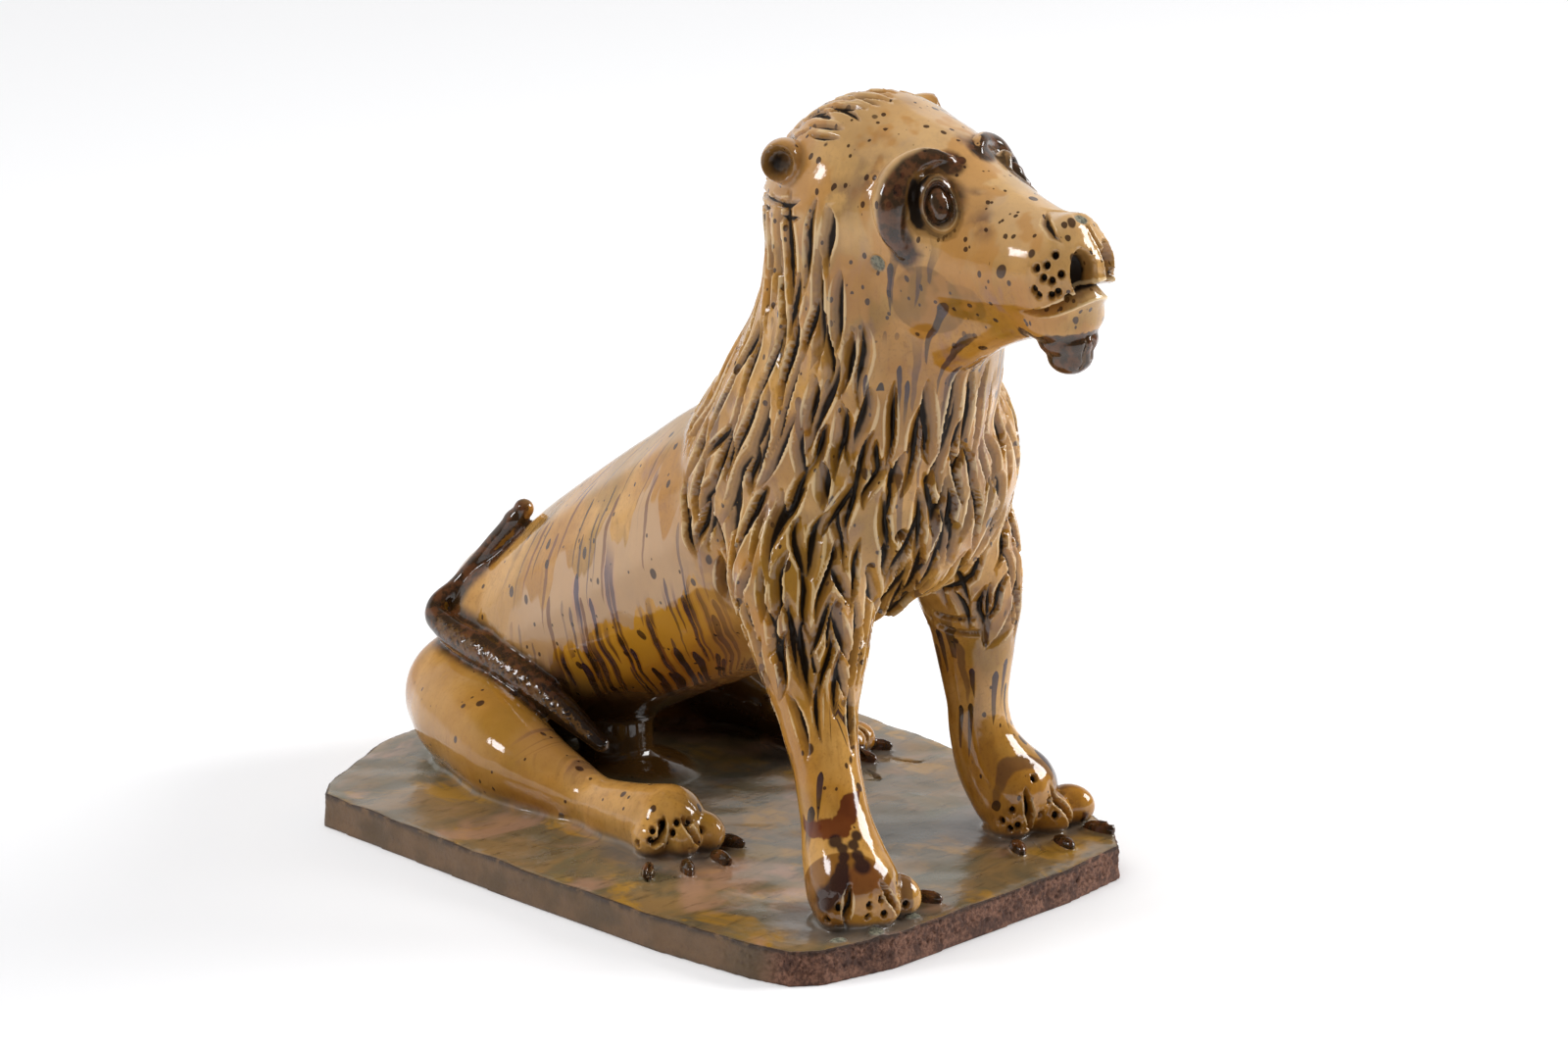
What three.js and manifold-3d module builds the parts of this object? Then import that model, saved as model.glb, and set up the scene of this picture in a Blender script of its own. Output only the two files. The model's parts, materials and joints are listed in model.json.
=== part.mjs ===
// A seated lion on a slab, built by hand from rolls of clay, lead glazed and fired as one piece.
// Millimetres, +Z up. The lion looks along -Y and its right side is towards -X.
// The origin is the middle of the slab's underside.
import * as THREE from 'three';
import { mergeVertices } from 'three/addons/utils/BufferGeometryUtils.js';
import Module from 'manifold-3d';

const wasm = await Module();
wasm.setup();

// The rolled slab: its thickness and the outline of its four knocked-off corners.
const SLAB_THICK = 12;
const SLAB_BACK = 139;
const SLAB_FRONT = -140;
const SLAB_SIDE = 104;
const SLAB_OUTLINE = [
  [-28, SLAB_BACK], [-46, 136], [-90, 114], [-100, 104],
  [-SLAB_SIDE, 0], [-SLAB_SIDE, -70], [-100, -112], [-96, -127], [-87, -134],
  [-58, SLAB_FRONT], [30, -138], [60, -134], [71, -122], [92, -78], [99, -15],
  [SLAB_SIDE, 34], [SLAB_SIDE, 112], [92, 132], [60, SLAB_BACK],
];

// The rolls of clay that make the body. Each station is [x, y, z, radius].
const TRUNK = [[6, 101, 46, 36], [6, 86, 55, 41], [4, 48, 79, 44], [0, 4, 104, 47], [-5, -40, 128, 47.5],
  [-8, -64, 132, 40]];
const NECK = [[-5, -52, 142, 49], [-8, -71, 170, 47], [-8, -82, 200, 43], [-10.5, -85, 226, 39.5],
  [-12, -84, 242, 38]];
const RIGHT_FORELEG = [[-16, -62, 154, 20], [-28, -69, 136, 26], [-37, -76, 117, 27], [-44, -86, 93, 19.5],
  [-49, -94, 75, 13.5], [-52, -101, 59, 11.6], [-55, -108, 44, 12], [-57, -114, 32, 14.5],
  [-59, -120, 24, 16]];
const LEFT_FORELEG = [[12, -64, 154, 20], [24, -73, 136, 25], [32, -80, 117, 23], [37, -83, 98, 18.5],
  [39, -83, 82, 15], [40, -84, 58, 10.9], [40.5, -86, 46, 11.6], [43, -89.5, 36, 14], [47, -95, 27, 16]];
const RIGHT_HINDLEG = [[-27, 107, 33, 24], [-36, 98, 31, 21], [-44, 80, 30, 19.8], [-51, 58, 27, 17.5],
  [-52, 32, 22.6, 12.5], [-51, 14, 19.4, 9.5], [-53, -6, 20.5, 11], [-52, -24, 21.5, 13.5]];
const LEFT_HINDLEG = [[38, 107, 33, 24], [47, 98, 31, 21], [57, 80, 30, 19.8], [64, 60, 27, 17.5],
  [64, 44, 22.6, 12.5], [63, 38, 19.4, 9], [62, 26, 20, 10], [62, 14, 20, 11.5]];
const BREAST = { at: [-1, -84, 151], radii: [50, 33, 47] };
const RUMP = { at: [2, 102, 55], radii: [35, 35, 35] };
// A mound of clay props the belly on the slab between the hind legs.
const MOUND = [{ at: [-2, 56, 24], radii: [13, 15, 17] }, { at: [0, 50, 10], radii: [24, 28, 8] }];
// A small blind hole low on the breast, where the hollow body was vented for firing.
const VENT = { at: [-27, -112, 137], radii: [3, 6, 3] };
const ROLL_SIDES = { body: 16, neck: 16, head: 16, jaw: 10, leg: 12, tail: 6, brow: 6 };
// The rings of each roll's domed ends, in degrees from its axis.
const DOME_DEG = [60, 30];

// The head is modelled upright and square, then set on the neck with a slight tilt.
const HEAD_AT = [-12, -85, 243];
const HEAD_TILT_DEG = -5.5;
const HEAD_TURN_DEG = -1.5;
const SKULL = [[0, -1, 1.5, 37], [0, -20, 0, 33.5], [0, -44, -6, 27], [0, -66, -8.5, 21.8],
  [0, -81, -8.5, 18.8]];
const JAW = [[-1, -16, -42, 21], [-2, -38, -31, 17.5], [-2, -56, -25, 13.5], [-2, -72, -20.5, 12]];
const MUZZLE_FRONT = { at: [0, -88, -8], radii: [15.5, 8.5, 20] };
const CHIN = { at: [0.5, -82.5, -24.5], radii: [15, 13, 8.5] };
const EYE = { x: 17.5, y: -45.6, z: 12, radius: 8.6, wide: 0.84, tall: 1.16, outward: 30, upward: 10 };
// From the pupil out over the cut ring to the rim: [share of the radius, height in mm].
const EYE_PROFILE = [[0, 4.8], [0.27, 4.2], [0.45, 2.2], [0.56, 2.2], [0.65, 3.4], [0.88, 2.4], [1, 0.6],
  [1, -8], [0, -8]];
// The brow's middle line about the eye, seen from 45 degrees in front: [forward, up, half thickness].
const BROW = [[-12, -15, 2.2], [-14.5, -8, 5], [-14.5, 0, 6.8], [-11.8, 7, 6.6], [-7, 11, 5.2],
  [-1, 12.5, 3.8], [5, 11.5, 1.8]];
// The far brow is pressed thinner than the near one.
const FAR_BROW = 0.62;
const EAR = { x: 30, y: 11, z: 21, radius: 7.2, outward: 62, upward: 8 };
// From the bottom of the cup over its lip to the root inside the head.
const EAR_PROFILE = [[0, 4], [0.45, 7], [0.75, 8], [1, 6.5], [0.85, -5], [0, -5]];
const LATHE_SIDES = 8;
const NOSTRIL = { x: 7.5, y: -97, z: -4, radii: [3.8, 7, 6.2], headingDeg: 12 };
// Lines pressed round the muzzle, about an upright axis through it. The mouth droops to its corners.
const MUZZLE_MIDDLE = [0, -78, 0];
const MOUTH = { height: -17.5, droop: 0.02, anglesDeg: [-80, -60, -40, -20, 0, 20, 40, 60, 80],
  width: 4.6, depth: 5.5, lift: 1 };
const LIP_GROOVE = { heights: [9, 2, -6, -13], width: 2.2, depth: 1.8, lift: 0.5 };
const BEARD = [{ at: [0, -84.5, -31.5], radii: [10, 10, 6] },
  { at: [-0.5, -85.5, -36.5], radii: [7.5, 7.8, 6.5] }];

// The tail comes up between the thigh and the belly, turns behind the rump and ends on the back.
const TAIL = [[-36, 27, 36, 4.2], [-36, 46, 42, 6], [-36.5, 68, 50, 6.8], [-37, 90, 56, 6.4],
  [-36, 109, 60, 5.2], [-33, 118, 64, 4], [-25, 115, 72, 3.4], [-19, 109, 82, 3.3], [-14, 101, 93, 3.6],
  [-11.5, 97, 98, 4.4]];
const TAIL_TIP = { at: [-10, 95, 102], radii: [3.8, 3.8, 3.8] };

// Claws are pellets pressed on in front of the toes: [x, y, heading in degrees from -Y].
const CLAW = { radii: [2.6, 6.4, 3], z: 13.6 };
const CLAWS = [[-77, -40, -45], [-65, -47, -34], [-50, -48, -16], [-36, -38, 7], [-29, -125, 12],
  [28, -115, -30], [44, -120, -12], [64, -117, 16], [50, -2, -16], [63, -6, 4], [76, 0, 24]];
// Toes are pressed on in front of three paws: [x, y, heading in degrees from -Y, size]. The fourth paw,
// tucked under the belly, has slits alone.
const TOES = [[-67, -120.5, -46, 17], [-55.5, -127, -10, 17], [-45, -126, 14, 16], [41, -98.5, -4, 16.5],
  [53.5, -104.5, 16, 16.5], [65.5, -104.5, 34, 15.5], [-60.5, -24.5, -40, 16], [-53.5, -31, -18, 16],
  [-44.5, -33, 8, 15]];
// A toe's half measures and how high its middle lies above the slab, as shares of its size.
const TOE = { wide: 0.45, long: 0.6, tall: 0.5, rise: 0.42 };
// Two slits part the toes of each paw: [x, y, and the slits' headings in degrees from -Y].
const PAWS = [[-58, -119, -49, 4], [50, -92, -30, 12], [-51, -25, -58, -14], [63, 9, -16, 24]];
const TOE_SLIT = { elevationsDeg: [34, 8, -16], z: 20, width: 3.6, depth: 3.4, lift: 0.5 };

// The mane is a coat of gouged cuts. They start at the hairline and run down.
const CUT = { length: 31, width: 5.6, depth: 4.2, lift: 0.6, spacing: 22, swayDeg: 5, steps: 3 };
// How unevenly the cuts start, in mm, and how much their lengths differ.
const CUT_SCATTER = { start: 9, stagger: 2, length: 0.3 };
const MANE_TOP = 246;
const MANE_BOTTOM = 104;
const MANE_ROW = 26;
// The radius at which the cuts are spaced, by height: about the breast, then the neck.
const MANE_RADIUS = [[149, 52], [151, 42]];
const MANE_AXIS = [[-6, -62, 90], [-7, -64, 140], [-9, -76, 170], [-10, -82, 200], [-12, -84, 256]];
// Half the bare face's angle about the neck, in degrees, by height.
const HAIRLINE = [[179, 0], [185, 42], [211, 56], [233, 68], [256, 86]];
const MANE_END = { y: 8, perWidth: 0.85, perDrop: 0.9, dropFrom: 125, middle: -5 };
const CROWN = { columns: 6, spreadDeg: 68, rowsDeg: [[6, 34], [40, 72]], staggerDeg: 9, scatterDeg: 4,
  width: 4.6, depth: 3.2 };
const LEG_CUT = { rows: [[108, 84], [90, 66]], columns: 5, swayDeg: 14, width: 4.8, depth: 2.9 };
// How far out the straight lines start that find the surface.
const REACH = { mane: 170, crown: 90, muzzle: 60, brow: 60, paw: 50, leg: 34 };

const GLAZE = new THREE.MeshStandardMaterial({ color: 0xa87a35, roughness: 0.22, metalness: 0 });

const vector = (p) => new THREE.Vector3(p[0], p[1], p[2]);
const radians = THREE.MathUtils.degToRad;

// A repeatable number from 0 to 1 for each seed.
function chance(seed) {
  const wave = Math.sin(seed * 12.9898 + 4.1) * 43758.5453;
  return wave - Math.floor(wave);
}

// Reads a value off a list of [key, value] pairs, straight between them and level past the ends.
function readOff(pairs, key) {
  if (key <= pairs[0][0]) return pairs[0][1];
  for (let i = 1; i < pairs.length; i += 1) {
    const [low, high] = [pairs[i - 1], pairs[i]];
    if (key <= high[0]) return THREE.MathUtils.mapLinear(key, low[0], high[0], low[1], high[1]);
  }
  return pairs[pairs.length - 1][1];
}

function closedGeometry(vertices, faces) {
  const geometry = new THREE.BufferGeometry();
  geometry.setAttribute('position', new THREE.Float32BufferAttribute(vertices, 3));
  geometry.setIndex(faces);
  return geometry;
}

// Turns a closed geometry into a solid that can be joined and cut.
function solid(geometry) {
  const bare = geometry.clone();
  bare.deleteAttribute('normal');
  bare.deleteAttribute('uv');
  const merged = mergeVertices(bare, 1e-4);
  return new wasm.Manifold(new wasm.Mesh({
    numProp: 3,
    vertProperties: new Float32Array(merged.attributes.position.array),
    triVerts: new Uint32Array(merged.index.array),
  }));
}

function geometryOf(shape) {
  const mesh = shape.getMesh();
  return closedGeometry(Array.from(mesh.vertProperties), Array.from(mesh.triVerts));
}

// Crossing cuts leave crumbs of clay and closed bubbles. This keeps the one big body.
function biggestBody(geometry) {
  const corners = geometry.index.array;
  const leader = Array.from({ length: geometry.attributes.position.count }, (_, i) => i);
  const leaderOf = (start) => {
    let i = start;
    while (leader[i] !== i) i = leader[i];
    leader[start] = i;
    return i;
  };
  for (let i = 0; i < corners.length; i += 3) {
    leader[leaderOf(corners[i + 1])] = leaderOf(corners[i]);
    leader[leaderOf(corners[i + 2])] = leaderOf(corners[i]);
  }
  const tally = new Map();
  corners.forEach((corner) => tally.set(leaderOf(corner), (tally.get(leaderOf(corner)) || 0) + 1));
  const [biggest] = [...tally].sort((a, b) => b[1] - a[1])[0];
  const kept = Array.from(corners).filter((corner) => leaderOf(corner) === biggest);
  const { position } = geometry.attributes;
  const placeOf = (corner) => [position.getX(corner), position.getY(corner), position.getZ(corner)];
  return mergeVertices(closedGeometry(kept.flatMap(placeOf), kept.map((_, i) => i)), 1e-6);
}

function join(shapes) {
  return shapes.reduce((whole, shape) => whole.add(shape));
}

// A roll of clay: round sections on a smooth curve through the stations, with domed ends.
function roll(stations, sides, spanSteps) {
  const centres = new THREE.CatmullRomCurve3(stations.map(vector), false, 'catmullrom', 0.5);
  const widths = new THREE.CatmullRomCurve3(
    stations.map((s) => new THREE.Vector3(s[3], 0, 0)), false, 'catmullrom', 0.5);
  const steps = (stations.length - 1) * spanSteps;
  const sections = [];
  const section = (t, along, shrink) => {
    const radius = widths.getPoint(t).x;
    const forward = centres.getTangent(t);
    const side = new THREE.Vector3(1, 0, 0).addScaledVector(forward, -forward.x).normalize();
    const up = forward.clone().cross(side);
    const centre = centres.getPoint(t).addScaledVector(forward, along * radius);
    sections.push({ centre, side, up, radius: radius * shrink });
  };
  const dome = DOME_DEG.map(radians);
  dome.forEach((angle) => section(0, -Math.sin(angle), Math.cos(angle)));
  for (let i = 0; i <= steps; i += 1) section(i / steps, 0, 1);
  dome.reverse().forEach((angle) => section(1, Math.sin(angle), Math.cos(angle)));

  const vertices = [];
  const faces = [];
  sections.forEach(({ centre, side, up, radius }) => {
    for (let k = 0; k < sides; k += 1) {
      const angle = (k / sides) * 2 * Math.PI;
      const point = centre.clone()
        .addScaledVector(side, radius * Math.cos(angle))
        .addScaledVector(up, radius * Math.sin(angle));
      vertices.push(point.x, point.y, point.z);
    }
  });
  for (let i = 0; i < sections.length - 1; i += 1) {
    for (let k = 0; k < sides; k += 1) {
      const next = (k + 1) % sides;
      const [a, b] = [i * sides + k, i * sides + next];
      faces.push(a, b, b + sides, a, b + sides, a + sides);
    }
  }
  const tip = (t, along) => {
    const point = centres.getPoint(t).addScaledVector(centres.getTangent(t), along * widths.getPoint(t).x);
    vertices.push(point.x, point.y, point.z);
    return vertices.length / 3 - 1;
  };
  const first = tip(0, -1);
  const last = tip(1, 1);
  const lastRing = (sections.length - 1) * sides;
  for (let k = 0; k < sides; k += 1) {
    const next = (k + 1) % sides;
    faces.push(first, next, k, last, lastRing + k, lastRing + next);
  }
  return closedGeometry(vertices, faces);
}

// A pressed lump of clay: an ellipsoid, turned by its heading about Z.
function lump({ at, radii }, around, down, headingDeg = 0) {
  return new THREE.SphereGeometry(1, around, down)
    .scale(...radii)
    .rotateZ(radians(headingDeg))
    .translate(...at);
}

// A cut made with a gouge: a V that starts and ends at nothing, along points on the surface.
function gouge(points, { width, depth, lift }) {
  const vertices = [];
  const faces = [];
  const count = points.length;
  const add = (p) => {
    vertices.push(p.x, p.y, p.z);
    return vertices.length / 3 - 1;
  };
  const sections = points.map(({ at, normal }, i) => {
    const raised = at.clone().addScaledVector(normal, lift);
    if (i === 0 || i === count - 1) return [add(raised)];
    const along = points[i + 1].at.clone().sub(points[i - 1].at).normalize();
    const side = normal.clone().cross(along).normalize();
    return [
      add(raised.clone().addScaledVector(side, width / 2)),
      add(raised.clone().addScaledVector(side, -width / 2)),
      add(at.clone().addScaledVector(normal, -depth)),
    ];
  });
  for (let i = 0; i < count - 1; i += 1) {
    const [here, there] = [sections[i], sections[i + 1]];
    for (let k = 0; k < 3; k += 1) {
      const next = (k + 1) % 3;
      if (here.length === 1) faces.push(here[0], there[next], there[k]);
      else if (there.length === 1) faces.push(here[k], here[next], there[0]);
      else faces.push(here[k], here[next], there[next], here[k], there[next], there[k]);
    }
  }
  return solid(closedGeometry(vertices, faces));
}

// Finds where a straight line from outside first meets a shape.
function prober(shape) {
  const surface = new THREE.Mesh(geometryOf(shape), new THREE.MeshBasicMaterial({ side: THREE.FrontSide }));
  const caster = new THREE.Raycaster();
  return (from, towards) => {
    caster.set(from, towards.clone().sub(from).normalize());
    const [found] = caster.intersectObject(surface);
    return found ? { at: found.point, normal: found.face.normal.clone() } : null;
  };
}

// Points on the surface at a height and an angle about an upright axis; 0 degrees faces front.
function aroundAxis(probe, centre, height, angleDeg, reach) {
  const angle = radians(angleDeg);
  const middle = new THREE.Vector3(centre.x, centre.y, height);
  const outwards = new THREE.Vector3(-Math.sin(angle), -Math.cos(angle), 0);
  return probe(middle.clone().addScaledVector(outwards, reach), middle);
}

function lathe(profile, radius) {
  const points = profile.map(([share, height]) => new THREE.Vector2(radius * share, height));
  return new THREE.LatheGeometry(points.reverse(), LATHE_SIDES);
}

function slab() {
  const outline = new THREE.Shape(SLAB_OUTLINE.map(([x, y]) => new THREE.Vector2(x, y)));
  return solid(new THREE.ExtrudeGeometry(outline, { depth: SLAB_THICK, bevelEnabled: false }));
}

// An eye: a low disc with a rim, a ring cut in it and a raised pupil.
function eyeDisc() {
  return lathe(EYE_PROFILE, EYE.radius).scale(EYE.wide, 1, EYE.tall);
}

// An ear: a short cup with a round lip.
function earCup() {
  return lathe(EAR_PROFILE, EAR.radius);
}

// Points an upright form outwards and up, on the side that sign gives.
function setOnHead(geometry, spec, sign) {
  return geometry
    .rotateX(radians(180 - spec.upward))
    .rotateZ(sign * radians(spec.outward))
    .translate(sign * spec.x, spec.y, spec.z);
}

// A brow: a crescent of clay pressed on the temple, round the outer and upper side of the eye.
function brow(probe, sign) {
  const eye = new THREE.Vector3(sign * EYE.x, EYE.y, EYE.z);
  const forward = new THREE.Vector3(-sign, -1, 0).normalize();
  const towards = new THREE.Vector3(-sign, 1, 0).normalize();
  const stations = BROW.map(([ahead, above, thick]) => {
    const target = eye.clone().addScaledVector(forward, ahead);
    target.z += above;
    const outside = target.clone().addScaledVector(towards, -REACH.brow);
    const { at } = probe(outside, target);
    return [at.x, at.y, at.z, thick * (sign > 0 ? FAR_BROW : 1)];
  });
  return solid(roll(stations, ROLL_SIDES.brow, 1));
}

function headSolid() {
  const parts = [
    solid(roll(SKULL, ROLL_SIDES.head, 2)),
    solid(roll(JAW, ROLL_SIDES.jaw, 1)),
    solid(lump(MUZZLE_FRONT, 12, 8)),
    solid(lump(CHIN, 10, 6)),
    ...BEARD.map((bit) => solid(lump(bit, 8, 6))),
  ];
  let head = join(parts);
  [-1, 1].forEach((sign) => {
    const placed = { ...NOSTRIL, at: [sign * NOSTRIL.x, NOSTRIL.y, NOSTRIL.z] };
    head = head.subtract(solid(lump(placed, 8, 6, sign * NOSTRIL.headingDeg)));
  });
  return head;
}

// Lines pressed into the face: the mouth, and the groove from the nose to the lip.
function faceLines(head) {
  const probe = prober(head);
  const muzzle = vector(MUZZLE_MIDDLE);
  const mouth = MOUTH.anglesDeg.map((angle) => {
    const height = MOUTH.height - Math.abs(angle) * MOUTH.droop;
    return aroundAxis(probe, muzzle, height, angle, REACH.muzzle);
  });
  const lipGroove = LIP_GROOVE.heights.map((height) => aroundAxis(probe, muzzle, height, 0, REACH.muzzle));
  return join([gouge(mouth, MOUTH), gouge(lipGroove, LIP_GROOVE)]);
}

function headOrnaments(bare) {
  const probe = prober(bare);
  const pieces = [];
  [-1, 1].forEach((sign) => {
    pieces.push(solid(setOnHead(eyeDisc(), EYE, sign)));
    pieces.push(solid(setOnHead(earCup(), EAR, sign)));
    pieces.push(brow(probe, sign));
  });
  return join(pieces);
}

function placeHead(shape) {
  const geometry = geometryOf(shape)
    .rotateY(radians(HEAD_TILT_DEG))
    .rotateZ(radians(HEAD_TURN_DEG))
    .translate(...HEAD_AT);
  return solid(geometry);
}

function head() {
  const bare = headSolid();
  return placeHead(bare.add(headOrnaments(bare)).subtract(faceLines(bare)));
}

function toes() {
  return join(TOES.map(([x, y, heading, size]) => {
    const at = [x, y, SLAB_THICK + size * TOE.rise];
    const radii = [size * TOE.wide, size * TOE.long, size * TOE.tall];
    return solid(lump({ at, radii }, 6, 4, heading));
  }));
}

function tail() {
  return solid(roll(TAIL, ROLL_SIDES.tail, 1)).add(solid(lump(TAIL_TIP, 6, 4)));
}

function claws() {
  return join(CLAWS.map(([x, y, heading]) => solid(lump({ ...CLAW, at: [x, y, CLAW.z] }, 4, 3, heading))));
}

function body() {
  const legs = [RIGHT_FORELEG, LEFT_FORELEG, RIGHT_HINDLEG, LEFT_HINDLEG];
  const parts = [
    solid(roll(TRUNK, ROLL_SIDES.body, 2)),
    solid(roll(NECK, ROLL_SIDES.neck, 1)),
    ...legs.map((stations) => solid(roll(stations, ROLL_SIDES.leg, 1))),
    ...MOUND.map((bit) => solid(lump(bit, 8, 6))),
    solid(lump(BREAST, 16, 10)),
    solid(lump(RUMP, 12, 8)),
    toes(),
  ];
  return join(parts);
}

function maneAxis(height) {
  const x = readOff(MANE_AXIS.map((s) => [s[2], s[0]]), height);
  const y = readOff(MANE_AXIS.map((s) => [s[2], s[1]]), height);
  return { x, y };
}

function insideMane(found) {
  if (found === null) return false;
  const { at } = found;
  const width = Math.abs(at.x - MANE_END.middle);
  const drop = Math.max(0, MANE_END.dropFrom - at.z);
  return at.y < MANE_END.y - width * MANE_END.perWidth - drop * MANE_END.perDrop;
}

// The points of one cut from a height and angle, running down by its drop and swaying to one side.
function cutPoints(probe, height, angle, drop, sway) {
  return Array.from({ length: CUT.steps + 1 }, (_, i) => {
    const share = i / CUT.steps;
    const z = height - drop * share;
    const turned = angle + sway * Math.sin(share * Math.PI * 0.75);
    return aroundAxis(probe, maneAxis(z), z, turned, REACH.mane);
  });
}

// One cut of the mane. Where the surface slopes its drop is eased, so that its length holds.
function maneCut(probe, height, angle, length, sway) {
  const straight = cutPoints(probe, height, angle, length, sway);
  if (!straight.every(insideMane)) return null;
  const run = straight[0].at.distanceTo(straight[CUT.steps].at);
  const drop = (length * length) / Math.max(run, length);
  const eased = cutPoints(probe, height, angle, drop, sway);
  return eased.every(insideMane) ? gouge(eased, CUT) : null;
}

function maneCuts(probe) {
  const cuts = [];
  let row = 0;
  for (let height = MANE_TOP; height > MANE_BOTTOM; height -= MANE_ROW) {
    const bare = readOff(HAIRLINE, height - CUT.length / 2);
    const step = THREE.MathUtils.radToDeg(CUT.spacing / readOff(MANE_RADIUS, height));
    for (let angle = bare; angle < 360 - bare; angle += step) {
      const seed = cuts.length + row * 31;
      const start = height + (chance(seed) - 0.5) * CUT_SCATTER.start + (row % 2) * CUT_SCATTER.stagger;
      const side = (cuts.length + row) % 2 ? 1 : -1;
      const length = CUT.length * (1 + (chance(seed + 0.5) - 0.5) * CUT_SCATTER.length);
      cuts.push(maneCut(probe, start, angle + (row % 2) * step * 0.5, length, side * CUT.swayDeg));
    }
    row += 1;
  }
  return cuts;
}

// Shorter cuts combed back over the crown, from the brow to the nape.
function crownCuts(probe) {
  const centre = vector(HEAD_AT);
  const cuts = [];
  for (let column = 0; column < CROWN.columns; column += 1) {
    const share = column / (CROWN.columns - 1);
    const lean = radians(THREE.MathUtils.lerp(-CROWN.spreadDeg, CROWN.spreadDeg, share));
    const upwards = new THREE.Vector3(Math.sin(lean), 0, Math.cos(lean));
    CROWN.rowsDeg.forEach(([from, to], row) => {
      const shift = (column % 2) * CROWN.staggerDeg + chance(column * 7 + row) * CROWN.scatterDeg;
      const points = [from, (from + to) / 2, to].map((back) => {
        const angle = radians(back + shift);
        const outside = centre.clone().addScaledVector(upwards, REACH.crown * Math.cos(angle));
        outside.y += REACH.crown * Math.sin(angle);
        return probe(outside, centre);
      });
      cuts.push(gouge(points, { ...CROWN, lift: CUT.lift }));
    });
  }
  return cuts;
}

// The mane runs on down the forelegs.
function legCuts(probe, stations) {
  const xs = stations.map((s) => [s[2], s[0]]).reverse();
  const ys = stations.map((s) => [s[2], s[1]]).reverse();
  const cuts = [];
  LEG_CUT.rows.forEach(([top, bottom], row) => {
    for (let column = 0; column < LEG_CUT.columns; column += 1) {
      const angle = ((column + (row % 2) * 0.5) / LEG_CUT.columns) * 360;
      const points = [0, 0.5, 1].map((share) => {
        const z = THREE.MathUtils.lerp(top, bottom, share);
        const centre = { x: readOff(xs, z), y: readOff(ys, z) };
        const turned = angle + LEG_CUT.swayDeg * Math.sin(share * Math.PI * 0.75);
        return aroundAxis(probe, centre, z, turned, REACH.leg);
      });
      if (points.every((p) => p !== null)) cuts.push(gouge(points, { ...LEG_CUT, lift: CUT.lift }));
    }
  });
  return cuts;
}

// Slits run over the top and front of each paw.
function toeSlits(probe) {
  const cuts = [];
  PAWS.forEach(([x, y, ...headings]) => {
    const middle = new THREE.Vector3(x, y, TOE_SLIT.z);
    headings.forEach((heading) => {
      const turn = radians(heading);
      const points = TOE_SLIT.elevationsDeg.map((elevation) => {
        const rise = radians(elevation);
        const outwards = new THREE.Vector3(Math.sin(turn), -Math.cos(turn), 0).multiplyScalar(Math.cos(rise));
        outwards.z = Math.sin(rise);
        return probe(middle.clone().addScaledVector(outwards, REACH.paw), middle);
      });
      if (points.every((p) => p !== null)) cuts.push(gouge(points, TOE_SLIT));
    });
  });
  return cuts;
}

function lion() {
  const bare = body();
  const skin = bare.add(head());
  const probe = prober(skin);
  const bodyProbe = prober(bare);
  const cuts = [
    ...maneCuts(probe),
    ...crownCuts(probe),
    ...legCuts(bodyProbe, RIGHT_FORELEG),
    ...legCuts(bodyProbe, LEFT_FORELEG),
    ...toeSlits(bodyProbe),
    solid(lump(VENT, 8, 6)),
  ].filter((cut) => cut !== null);
  return skin.subtract(join(cuts)).add(join([slab(), tail(), claws()]));
}

const figure = new THREE.Mesh(biggestBody(geometryOf(lion())), GLAZE);
figure.name = 'lion_figure';

const group = new THREE.Group();
group.add(figure);

export default group;
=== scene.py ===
# %% [markdown]
# # A hand-built pottery lion under lead glaze
# The lion sits on a slab of clay. A potter rolled its body and legs, pressed them together, gouged the
# mane, pushed on the ears, brows, eyes, tail and claws, and fired all of it as one glazed piece. The
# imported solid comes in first: its box is the size that the dressed piece keeps to.

# %% Load the frame
import json
import math

import bpy
import numpy as np
from mathutils import Matrix, Vector
from mathutils.bvhtree import BVHTree

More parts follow.
